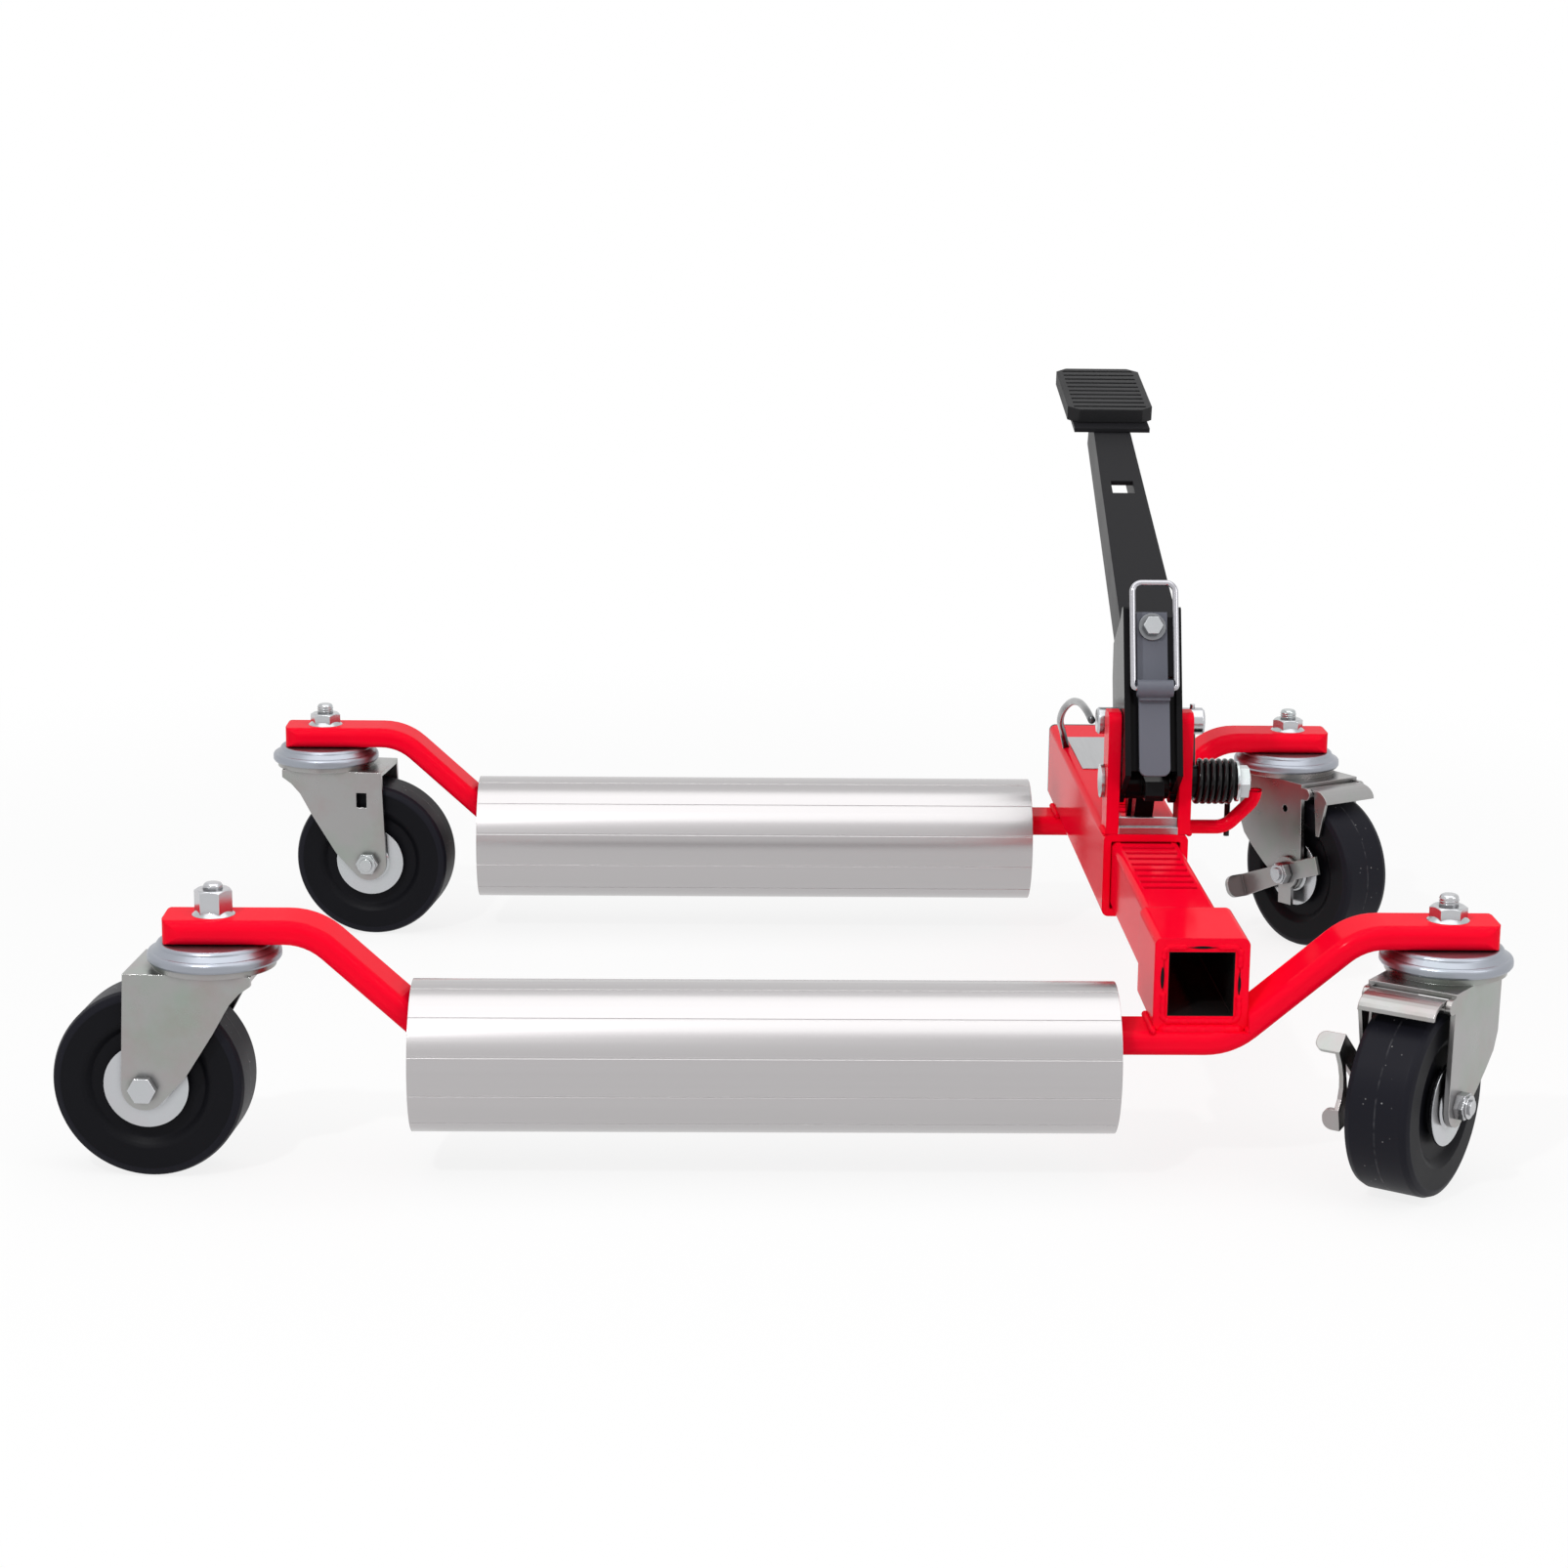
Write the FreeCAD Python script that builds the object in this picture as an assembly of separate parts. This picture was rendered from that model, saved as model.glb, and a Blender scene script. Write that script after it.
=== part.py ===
import FreeCAD, Part
import math
import os

# Wheel-lift positioning jack: two roller bars on casters, drawn together by a foot pedal.
# Millimetres. While the pieces are made, X = 0 is the middle of the square beam,
# Y = 0 is the front roller bar (Y grows towards the pedal end) and the floor is at FLOOR_Z.
# At the end everything is shifted so that the origin is the bottom centre of the whole.

V = FreeCAD.Vector
X_AXIS = V(1, 0, 0)
Y_AXIS = V(0, 1, 0)
Z_AXIS = V(0, 0, 1)

# Clearances
RUN_FIT = 0.08            # running fit of a pin in its bore, radial
BOLT_FIT = 0.05           # bolt or pin in a hole of the same body, radial
FREE_GAP = 0.3            # air between pieces that move past each other
SLIDE_GAP = 0.5           # flat sliding faces, each side
WELD_GAP = 0.2            # inner tube in its welded front sleeve, each side

# Frame layout
BAR_SPACING = 498.4       # front bar to rear bar, standing open
STEM_OUTSIDE = 102.7      # left swivel stems beyond the rollers' left ends
STEM_RIGHT_X = 130.5      # swivel stems of the two right casters
BAR_OVERHANG = 25.5       # bar beyond each stem
BAR_DEPTH = 36.0          # bar section along Y
BAR_HEIGHT = 13.0         # bar section along Z
BAR_EDGE = 5.0            # softened long edges of the bar
BAR_END_ROUND = 9.0       # rounded bar ends, seen from above
BAR_BEND_R = 35.0         # bend radius on the centre line
ARM_TOP_Z = 138.0         # top of the raised bar ends
BAR_LOW_Z = 73.9          # centre of the low run
SLOPE_OUTSIDE = 51.2      # left slope's upper corner beyond the rollers' left ends
SLOPE_INSIDE = 12.3       # left slope's lower corner inside the rollers' left ends
SLOPE_RIGHT_X = (15.5, 83.0)       # lower and upper corner of the right slope

# Telescopic beam
BEAM_OUTER = 50.0         # housing and front sleeve, outside
BEAM_INNER = 40.0         # sliding tube, outside
INNER_WALL = 3.0
TUBE_CORNER = 4.0         # outside corner radius of the square tubes
SLEEVE_FRONT_Y = -12.0
SLEEVE_LENGTH = 64.0
INNER_SETBACK = 0.8       # sliding tube behind the sleeve's front edge
INNER_LENGTH = 362.0
HOUSING_FRONT_Y = 222.0
HOUSING_LENGTH = 325.0
RACK_PITCH = 13.5
RACK_SLOT = 5.5
RACK_WIDTH = 30.0
RACK_FIRST_Y = 112.0
RACK_COUNT = 17
PAWL_WINDOW_WIDTH = 18.0
PAWL_WINDOW_Y = (246.0, 322.0)
END_CAP_LIP = 3.0
END_CAP_DEPTH = 14.0
PLATE_SIZE = (36.0, 100.0, 0.6)    # blank rating plate on the housing
PLATE_REAR_Y = 504.0

# Rollers
ROLLER_D = 80.5
ROLLER_WALL = 3.5
ROLLER_LENGTH = 370.0
ROLLER_RIGHT_X = -43.3
ROLLER_AXIS_Z = 61.8
ROLLER_GROOVES = 12       # fine extrusion lines along the roller
ROLLER_GROOVE_W = 0.9
ROLLER_GROOVE_D = 0.4
BUSH_LENGTH = 14.0
BUSH_LEFT_INSET = 36.0    # the left bush sits past the bar's bend
BUSH_RIGHT_INSET = 3.0

# Casters
FLOOR_Z = -1.3
WHEEL_D = 101.6           # a four-inch wheel
WHEEL_W = 36.0
WHEEL_TRAIL = 33.5
RIM_R = 33.0              # inner edge of the raised rim
WEB_W = 29.0
HUB_R = 16.0
HUB_W = 36.0
TREAD_ROUND = 4.0
AXLE_D = 8.0
AXLE_SLEEVE_R = 9.0
GUARD_R = 22.5
GUARD_T = 1.5
FORK_GAP = 43.0           # between the fork legs
FORK_T = 3.0
FORK_TOP_Z = 111.0
FORK_LEAD = (24.0, 18.0)  # leg ahead of the stem, plain and braked fork
FORK_TRAIL = 43.0         # fork top behind the stem
PLAIN_EDGE = ((0.47, 0.1), (0.7, 0.5), (0.82, 0.74), (0.91, 0.85), (1.0, 0.92))
BRAKED_EDGE = ((0.56, 0.03), (0.75, 0.17), (0.9, 0.3), (0.98, 0.46), (1.0, 0.9))
FORK_FOOT_R = 12.0        # rounded leg end round the axle
STEM_D = 10.0
BALL_R = 3.0
BALL_RING_R = 26.0
BALL_COUNT = 12
RACE_R = 35.0             # upper raceway, outside
RACE_SKIRT = 2.0
LOWER_RACE_R = 32.0
RACE_GAP = 1.5            # air between the two raceways
RACE_RIM_H = 5.6          # lower step of the upper raceway
RACE_STEP = 4.8           # its upper step is smaller by this, in radius
RACE_ROUND = 2.2
NUT_AF = 17.5
NUT_H = 5.6
NUT_FLANGE_R = 11.4
NUT_FLANGE_T = 2.2
STEM_PROUD = 6.2          # stem above its nut
LOCK_NUT_H = 11.5         # taller nut of the front left stem
LOCK_NUT_PROUD = 3.3      # stem above that nut
STEM_TIP_ROUND = 2.0
AXLE_HEAD_AF = 13.0
AXLE_HEAD_H = 5.3
AXLE_PROUD = 3.0
LEVER_T = 2.5             # brake lever plate
LEVER_ARM_W = 12.0
LEVER_HUB_R = 11.0
LEVER_DIP = 13.0          # how far the edge between the two fingers is drawn in
FINGER_ROUND = 0.42       # rounded finger ends, as a share of their width
SHOE_T = 2.0
SHOE_WIDTH = 42.0
SHOE_REACH = 17.0         # shoe beyond its hinge
SHOE_DROP = 8.0
SHOE_PIN_R = 1.6
SHOE_PIN_Z = 105.0
SHOE_LUG = 4.0            # lug round the hinge pin
STRAP_LOW_Z = 78.0        # lower end of the shoe's side strap
STRAP_TIP = (9.0, 6.0)    # its two lower corners, back from the shoe's edge
FORK_NOSE_R = 36.0        # rounded leading end of the fork, seen from above
FORK_SLOT = (7.0, 10.0)   # slot in one leg of the plain forks
FORK_HOLE_R = 2.5         # hole in one leg of the braked forks
FORK_SLOT_AT = (29.5, 92.0)
FORK_HOLE_AT = (28.0, 92.0)
ANCHOR_LIFT = 0.5         # anchor bar's centre below the housing's top

# Ears, pivot bolt and return spring
EAR_SHIFT = 1.0           # ears and pedal to the right of the beam's middle
EAR_GAP = 35.0            # between the ears
EAR_DEPTH = 22.0
EAR_TOP_Z = 203.0
EAR_ROUND = 6.0
PIVOT_Y = 240.0
PIVOT_Z = 159.0
PIVOT_D = 12.0
PIVOT_HEAD_R = 10.0
PIVOT_HEAD_T = 2.5
SPRING_WIRE = 3.7
SPRING_R = 12.0           # mean coil radius
SPRING_TURNS = 5
SPRING_PITCH = 4.3
SPRING_START = 4.7        # first turn beyond the right ear
SPRING_UPPER_LEG = 40.0
SPRING_LOWER_LEG = 36.0
SPRING_BUSH_R = 9.6
WASHER_R = 12.0
WASHER_T = 1.5
PIVOT_NUT_AF = 17.5
PIVOT_NUT_H = 6.0
ANCHOR_D = 8.4
ANCHOR_RUN = 24.0
ANCHOR_END_Z = 152.0
ANCHOR_BEND_R = 14.0
WEAR_STRIP_H = 9.8
WEAR_STRIP_T = (4.5, 2.5)  # lower step and upper step

# Pedal
LEAN = math.radians(20.3)          # bracket leans back
BRACKET_FRONT = 38.5      # pivot to the bracket's front edge
BRACKET_BACK = 17.0
BRACKET_HEIGHT = 98.0
KNEE_TOP = (92.6, -23.6)  # upper and lower end of the seam between bracket and arm
KNEE_LOW = (84.8, 10.2)
WEB_LOW_S = 45.0          # lower edge of the web between the cheeks
SHIELD_S = (1.0, 50.0)    # lower and upper edge of the shield behind the leaf
SHIELD_BACK = 7.0         # the shield's back face, from the bracket's front edge
SHIELD_T = 2.0
BRACKET_T = 3.5
PIVOT_LOBE_R = 13.0
CROSS_PIN_D = 16.0
CROSS_PIN_Z = 193.0
CROSS_PIN_PROUD = (4.0, 10.0)      # left and right end beyond the ears
ROLL_PIN_R = 1.5
DRIVE_PIN_D = 8.0
DRIVE_PIN_Y = 266.0
DRIVE_PIN_Z = 172.0
DRIVE_LOBE_R = 9.5
LEAF_T = 2.5
LEAF_WIDTH = 18.0
LEAF_EYE_WIDTH = 21.0
LEAF_TIP_ROUND = 4.5
LEAF_LOW_S = -3.0         # leaf strip's free end, along the bracket
LEAF_HIGH_S = 95.0        # its clamped end
LEAF_STEP_S = 43.0
LEAF_EYE_R = 5.0
PEDAL_BOLT_S = 86.0
PEDAL_BOLT_D = 6.0
PEDAL_BOLT_AF = 10.0
PEDAL_BOLT_HEAD = 5.5
PEDAL_WASHER_R = 8.0
PEDAL_WASHER_T = 1.6
BAIL_WIRE = 3.4
BAIL_WIDTH = 25.2         # between the leg centre lines
BAIL_HEIGHT = 62.5
BAIL_CORNER = 5.5
ARM_PITCH = math.radians(22.7)
ARM_LENGTH = 262.0
ARM_WIDTH = (34.0, 22.0)           # at the knee and at the pad
ARM_DEPTH = 28.0
ARM_T = 3.2
ARM_HOLE = (14.0, 15.0)
ARM_HOLE_AT = 157.0
PAD_PITCH = math.radians(11.0)
PAD_SETBACK = 20.8        # pad's front edge before the arm's upper end
PAD_RISE = 9.09           # pad's front edge above the arm
PAD_SIZE = (55.0, 94.0, 9.0)
PAD_CHAMFER = 7.0
PAD_RIBS = 9
PAD_RIB_GAP = 3.0
PAD_RIB_D = 1.6
PAD_PLATE_W = 48.8
PAD_PLATE_T = 3.0
PAD_LIP = 11.0

# Pawls
PAWL_W = 11.0
PAWL_HUB_W = 25.6
HOLD_HUB_R = 10.5
HOLD_HOVER = 0.6          # pawl nose above the rack at rest
DRIVE_HUB_R = 7.5
DRIVE_HOVER = 2.3
DRIVE_REACH = 18.0        # drive pawl nose behind its pin

# Keeper wire, in real sizes: route from the cross pin's end back to the housing top
KEEPER_D = 4.5
KEEPER_ROUTE = (
    (-30.8, 252.3, 193.0),
    (-31.8, 275.0, 195.0),
    (-32.0, 310.0, 192.5),
    (-32.5, 350.0, 185.0),
    (-33.5, 385.0, 173.0),
    (-31.0, 425.0, 158.0),
    (-25.5, 460.0, 144.0),
    (-21.4, 474.0, 128.0),
)

# Worked out from the above
ROLLER_LEFT_X = ROLLER_RIGHT_X - ROLLER_LENGTH
STEM_LEFT_X = ROLLER_LEFT_X - STEM_OUTSIDE
SLOPE_LEFT_X = (ROLLER_LEFT_X - SLOPE_OUTSIDE, ROLLER_LEFT_X + SLOPE_INSIDE)
BEAM_LOW_Z = BAR_LOW_Z + BAR_HEIGHT / 2
BEAM_Z = BEAM_LOW_Z + BEAM_OUTER / 2
BEAM_TOP_Z = BEAM_LOW_Z + BEAM_OUTER
RACK_Z = BEAM_Z + BEAM_INNER / 2
ARM_Z = ARM_TOP_Z - BAR_HEIGHT / 2
ARM_UNDER_Z = ARM_TOP_Z - BAR_HEIGHT
HOUSING_REAR_Y = HOUSING_FRONT_Y + HOUSING_LENGTH
HOUSING_BORE = BEAM_INNER + 2 * SLIDE_GAP
WHEEL_R = WHEEL_D / 2
EAR_X = (EAR_GAP / 2, BEAM_OUTER / 2)
EAR_BACK_Y = HOUSING_FRONT_Y + EAR_DEPTH
BRACKET_HALF = EAR_GAP / 2 - SLIDE_GAP
CHEEK_HALF = BRACKET_HALF - BRACKET_T
CROSS_PIN_Y = EAR_BACK_Y + CROSS_PIN_D / 2 + FREE_GAP
FORK_HALF = FORK_GAP / 2 + FORK_T


def box(x0, x1, y0, y1, z0, z1):
    """Box between two corners."""
    return Part.makeBox(x1 - x0, y1 - y0, z1 - z0, V(x0, y0, z0))


def rod(radius, start, end):
    """Round bar between two points."""
    axis = end - start
    return Part.makeCylinder(radius, axis.Length, start, axis)


def ring(outer, inner, start, end):
    """Tube between two points."""
    return rod(outer, start, end).cut(rod(inner, start, end))


def prism(points, direction):
    """Flat outline through the points, pushed along a direction."""
    return Part.Face(Part.makePolygon(list(points) + [points[0]])).extrude(direction)


def hexagon(across_flats, start, end):
    """Hexagonal bar between two points."""
    axis = end - start
    side = axis.cross(Z_AXIS)
    if side.Length < 1e-6:
        side = X_AXIS
    side = V(side).normalize()
    up = V(axis).normalize().cross(side)
    reach = across_flats / math.sqrt(3)
    turns = [math.radians(60 * k) for k in range(6)]
    corners = [start + side * (reach * math.cos(a)) + up * (reach * math.sin(a)) for a in turns]
    return prism(corners, axis)


def rounded_rect(width, height, radius, place):
    """Closed outline of a rounded rectangle; place turns flat (a, b) into a point."""
    w = width / 2
    h = height / 2
    corners = ((w, h), (-w, h), (-w, -h), (w, -h))
    starts = ((w, h - radius), (-w + radius, h), (-w, -h + radius), (w - radius, -h))
    ends = ((w - radius, h), (-w, h - radius), (-w + radius, -h), (w, -h + radius))
    edges = []
    for k in range(4):
        inset = radius * (1 - math.sqrt(0.5))
        a = corners[k][0] - math.copysign(inset, corners[k][0])
        b = corners[k][1] - math.copysign(inset, corners[k][1])
        edges.append(Part.Arc(place(*starts[k]), place(a, b), place(*ends[k])).toShape())
        nxt = starts[(k + 1) % 4]
        edges.append(Part.makeLine(place(*ends[k]), place(*nxt)))
    return Part.Wire(edges)


def square_tube(outer, inner, y0, y1, corner):
    """Square tube along Y, centred on the beam."""
    inner_corner = max(corner - (outer - inner) / 2, 1.0)
    skin = rounded_rect(outer, outer, corner, lambda a, b: V(a, y0, BEAM_Z + b))
    bore = rounded_rect(inner, inner, inner_corner, lambda a, b: V(a, y0, BEAM_Z + b))
    length = V(0, y1 - y0, 0)
    return Part.Face(skin).extrude(length).cut(Part.Face(bore).extrude(length))


def bent_path(points, radius=None):
    """Straight runs joined by tangent arcs, of one radius or else as large as the runs allow."""
    edges = []
    last = points[0]
    for before, at, after in zip(points, points[1:], points[2:]):
        back = (before - at).normalize()
        ahead = (after - at).normalize()
        half = back.getAngle(ahead) / 2
        shorter = min((before - at).Length, (after - at).Length)
        bend = radius if radius else 0.45 * shorter * math.tan(half)
        reach = bend / math.tan(half)
        middle = (back + ahead).normalize()
        start = at + back * reach
        end = at + ahead * reach
        crown = at + middle * (bend / math.sin(half) - bend)
        edges.append(Part.makeLine(last, start))
        edges.append(Part.Arc(start, crown, end).toShape())
        last = end
    edges.append(Part.makeLine(last, points[-1]))
    return Part.Wire(edges)


def swept_rod(path, diameter):
    """Round wire swept along a path."""
    first = path.Edges[0]
    start = first.valueAt(first.FirstParameter)
    circle = Part.Wire(Part.makeCircle(diameter / 2, start, first.tangentAt(first.FirstParameter)))
    shell = Part.BRepOffsetAPI.MakePipeShell(path)
    shell.add(circle)
    shell.build()
    shell.makeSolid()
    return shell.shape()


# Cross bars: one bent bar carries the two casters and the roller of its end.

def cross_bar(y):
    """Bent bar: raised ends over the casters and a low straight run."""
    left = STEM_LEFT_X - BAR_OVERHANG
    right = STEM_RIGHT_X + BAR_OVERHANG
    spine = [
        V(left, y, ARM_Z),
        V(SLOPE_LEFT_X[0], y, ARM_Z),
        V(SLOPE_LEFT_X[1], y, BAR_LOW_Z),
        V(SLOPE_RIGHT_X[0], y, BAR_LOW_Z),
        V(SLOPE_RIGHT_X[1], y, ARM_Z),
        V(right, y, ARM_Z),
    ]
    path = bent_path(spine, BAR_BEND_R)
    section = rounded_rect(BAR_DEPTH, BAR_HEIGHT, BAR_EDGE, lambda a, b: V(left, y + a, ARM_Z + b))
    bar = path.makePipeShell([section], True, False)
    middle = (left + right) / 2
    span = right - left
    plan = rounded_rect(span, BAR_DEPTH, BAR_END_ROUND, lambda a, b: V(middle + a, y + b, 0))
    bar = bar.common(Part.Face(plan).extrude(V(0, 0, ARM_TOP_Z + BAR_HEIGHT)))
    for x in (STEM_LEFT_X, STEM_RIGHT_X):
        bar = bar.cut(rod(STEM_D / 2 + BOLT_FIT, V(x, y, 0), V(x, y, 2 * ARM_TOP_Z)))
    half = BEAM_OUTER / 2
    seat = box(-half, half, y - BAR_DEPTH, y + BAR_DEPTH, BEAM_LOW_Z, BEAM_TOP_Z)
    return bar.cut(seat)


# Telescopic beam

def front_sleeve():
    """Short square sleeve welded on the front bar."""
    bore = BEAM_INNER + 2 * WELD_GAP
    return square_tube(BEAM_OUTER, bore, SLEEVE_FRONT_Y, SLEEVE_FRONT_Y + SLEEVE_LENGTH, TUBE_CORNER)


def inner_tube():
    """Sliding tube with a row of ratchet slots in its top wall."""
    start = SLEEVE_FRONT_Y + INNER_SETBACK
    tube = square_tube(BEAM_INNER, BEAM_INNER - 2 * INNER_WALL, start, start + INNER_LENGTH, TUBE_CORNER)
    half = RACK_WIDTH / 2
    for k in range(RACK_COUNT):
        y = RACK_FIRST_Y + k * RACK_PITCH
        tube = tube.cut(box(-half, half, y, y + RACK_SLOT, BEAM_Z, 2 * RACK_Z))
    return tube


def housing_tube():
    """Outer square tube with the pawl window in its top wall."""
    tube = square_tube(BEAM_OUTER, HOUSING_BORE, HOUSING_FRONT_Y, HOUSING_REAR_Y, TUBE_CORNER)
    half = PAWL_WINDOW_WIDTH / 2
    return tube.cut(box(-half, half, PAWL_WINDOW_Y[0], PAWL_WINDOW_Y[1], BEAM_Z, 2 * BEAM_TOP_Z))


def housing_end_cap():
    """Push-in plug for the housing's rear end."""
    plug = HOUSING_BORE - 2 * BOLT_FIT
    half = plug / 2
    edge = rounded_rect(plug, plug, TUBE_CORNER, lambda a, b: V(a, HOUSING_REAR_Y, BEAM_Z + b))
    body = Part.Face(edge).extrude(V(0, -END_CAP_DEPTH, 0))
    hollow = half - INNER_WALL
    deep = HOUSING_REAR_Y - END_CAP_LIP
    body = body.cut(box(-hollow, hollow, 0, deep, BEAM_Z - hollow, BEAM_Z + hollow))
    rim = rounded_rect(BEAM_OUTER, BEAM_OUTER, TUBE_CORNER, lambda a, b: V(a, HOUSING_REAR_Y, BEAM_Z + b))
    return body.fuse(Part.Face(rim).extrude(V(0, END_CAP_LIP, 0)))


def blank_plate():
    """Thin bare plate lying on the housing."""
    half = PLATE_SIZE[0] / 2
    front = PLATE_REAR_Y - PLATE_SIZE[1]
    return box(-half, half, front, PLATE_REAR_Y, BEAM_TOP_Z, BEAM_TOP_Z + PLATE_SIZE[2])


# Rollers

def roller_tube(y):
    """Extruded roller with fine lines along it."""
    left = V(ROLLER_LEFT_X, y, ROLLER_AXIS_Z)
    right = V(ROLLER_RIGHT_X, y, ROLLER_AXIS_Z)
    outer = ROLLER_D / 2
    tube = ring(outer, outer - ROLLER_WALL, left, right)
    half = ROLLER_GROOVE_W / 2
    low = ROLLER_AXIS_Z + outer - ROLLER_GROOVE_D
    for k in range(ROLLER_GROOVES):
        cut = box(left.x, right.x, y - half, y + half, low, low + ROLLER_D)
        cut.rotate(left, X_AXIS, 360.0 * (k + 0.5) / ROLLER_GROOVES)
        tube = tube.cut(cut)
    return tube


def bar_reach():
    """Farthest point of the bar's section from the roller axis."""
    up = BAR_LOW_Z + BAR_HEIGHT / 2 - BAR_EDGE - ROLLER_AXIS_Z
    across = BAR_DEPTH / 2 - BAR_EDGE
    return math.hypot(up, across) + BAR_EDGE


def roller_bushes(y):
    """Two nylon bushes pressed into one roller."""
    outer = ROLLER_D / 2 - ROLLER_WALL
    bore = bar_reach() + FREE_GAP
    left = ROLLER_LEFT_X + BUSH_LEFT_INSET
    right = ROLLER_RIGHT_X - BUSH_RIGHT_INSET - BUSH_LENGTH
    made = []
    for x in (left, right):
        start = V(x, y, ROLLER_AXIS_Z)
        made.append(ring(outer, bore, start, start + X_AXIS * BUSH_LENGTH))
    return Part.makeCompound(made)


# Casters, made with the stem at the origin and the wheel trailing along +X

def place(shape, stem_x, stem_y, heading):
    """Turn a caster piece to its heading and put it on its stem."""
    moved = shape.copy()
    moved.rotate(V(0, 0, 0), Z_AXIS, heading)
    moved.translate(V(stem_x, stem_y, 0))
    return moved


def lathe(points, centre, axis):
    """Solid of revolution: points are (radius, along) pairs round an axis."""
    radial = Z_AXIS if abs(axis.z) < 0.5 else X_AXIS
    flat = [centre + radial * r + axis * w for r, w in points]
    return Part.Face(Part.makePolygon(flat + [flat[0]])).revolve(centre, axis, 360)


AXLE = V(WHEEL_TRAIL, 0, FLOOR_Z + WHEEL_R)


def wheel():
    """Solid wheel: raised rim, recessed web and hub."""
    bore = AXLE_SLEEVE_R + RUN_FIT
    w = WHEEL_W / 2
    edge = TREAD_ROUND * (1 - math.sqrt(0.5))
    half = [
        (bore, HUB_W / 2),
        (HUB_R, HUB_W / 2),
        (HUB_R + 2, WEB_W / 2),
        (RIM_R - 3, WEB_W / 2),
        (RIM_R, w - 1),
        (RIM_R + 2, w),
        (WHEEL_R - TREAD_ROUND, w),
        (WHEEL_R - edge, w - edge),
        (WHEEL_R, w - TREAD_ROUND),
    ]
    other = [(r, -a) for r, a in reversed(half)]
    return lathe(half + other, AXLE, Y_AXIS)


def fork(braked):
    """Pressed fork: top plate, two tapering legs and the lower raceway."""
    inner = FORK_GAP / 2
    r = FORK_FOOT_R
    lead = FORK_LEAD[1] if braked else FORK_LEAD[0]
    rise = FORK_TOP_Z - AXLE.z
    body = box(-lead, FORK_TRAIL, -FORK_HALF, FORK_HALF, FORK_TOP_Z - FORK_T, FORK_TOP_Z)
    front = [(FORK_TRAIL - k * (FORK_TRAIL + lead), AXLE.z + m * rise)
             for k, m in (BRAKED_EDGE if braked else PLAIN_EDGE)]
    outline = [(-lead, FORK_TOP_Z), (FORK_TRAIL, FORK_TOP_Z), (AXLE.x + r, AXLE.z), (AXLE.x, AXLE.z - r),
               (AXLE.x - r * 0.71, AXLE.z - r * 0.71)] + front
    for start in (inner, -inner - FORK_T):
        leg = prism([V(u, start, z) for u, z in outline], V(0, FORK_T, 0))
        knob = rod(r, V(AXLE.x, start, AXLE.z), V(AXLE.x, start + FORK_T, AXLE.z))
        body = body.fuse(leg).fuse(knob)
    nose = rod(FORK_NOSE_R, V(0, 0, 0), V(0, 0, ARM_TOP_Z))
    body = body.common(nose.fuse(box(0, WHEEL_D, -WHEEL_R, WHEEL_R, 0, ARM_TOP_Z)))
    if braked:
        u, z = FORK_HOLE_AT
        body = body.cut(rod(FORK_HOLE_R, V(u, -FORK_GAP, z), V(u, -inner / 2, z)))
    else:
        u, z = FORK_SLOT_AT
        w, h = FORK_SLOT
        body = body.cut(box(u - w / 2, u + w / 2, -FORK_GAP, 0, z - h / 2, z + h / 2))
    body = body.cut(rod(AXLE_D / 2 + BOLT_FIT, AXLE - Y_AXIS * FORK_GAP, AXLE + Y_AXIS * FORK_GAP))
    race = ring(LOWER_RACE_R, BALL_RING_R - 2 * BALL_R, V(0, 0, FORK_TOP_Z), V(0, 0, RACE_SPLIT_Z))
    track = Part.makeTorus(BALL_RING_R, BALL_R + RUN_FIT, V(0, 0, BALL_Z))
    body = body.fuse(race.cut(track)).removeSplitter()
    return body.cut(rod(STEM_D / 2 + FREE_GAP, V(0, 0, 0), V(0, 0, ARM_TOP_Z)))


RACE_SPLIT_Z = FORK_TOP_Z + 4.5
BALL_Z = RACE_SPLIT_Z + RACE_GAP / 2
UPPER_RACE_Z = RACE_SPLIT_Z + RACE_GAP


def upper_race():
    """Upper raceway: two rounded steps, a turned-down skirt and a boss against the bar."""
    skirt_low = FORK_TOP_Z + 3.5
    rim_top = skirt_low + RACE_RIM_H
    plate_top = ARM_UNDER_Z - FREE_GAP
    inside = LOWER_RACE_R + 1
    turns = [math.pi / 2 * k / 4 for k in range(5)]
    points = [
        (STEM_D / 2 + BOLT_FIT, UPPER_RACE_Z),
        (inside, UPPER_RACE_Z),
        (inside, skirt_low),
        (RACE_R - 0.8, skirt_low),
        (RACE_R, skirt_low + 1.2),
    ]
    for outer, top in ((RACE_R, rim_top), (RACE_R - RACE_STEP, plate_top)):
        points += [(outer - RACE_ROUND * (1 - math.cos(a)), top - RACE_ROUND * (1 - math.sin(a)))
                   for a in turns]
    points += [
        (STEM_D + 4, plate_top),
        (STEM_D + 3, ARM_UNDER_Z),
        (STEM_D / 2 + BOLT_FIT, ARM_UNDER_Z),
    ]
    disc = lathe(points, V(0, 0, 0), Z_AXIS)
    return disc.cut(Part.makeTorus(BALL_RING_R, BALL_R + RUN_FIT, V(0, 0, BALL_Z)))


def swivel_balls():
    """Ring of bearing balls between the raceways."""
    made = []
    for k in range(BALL_COUNT):
        a = 2 * math.pi * k / BALL_COUNT
        centre = V(BALL_RING_R * math.cos(a), BALL_RING_R * math.sin(a), BALL_Z)
        made.append(Part.makeSphere(BALL_R, centre))
    return Part.makeCompound(made)


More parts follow.
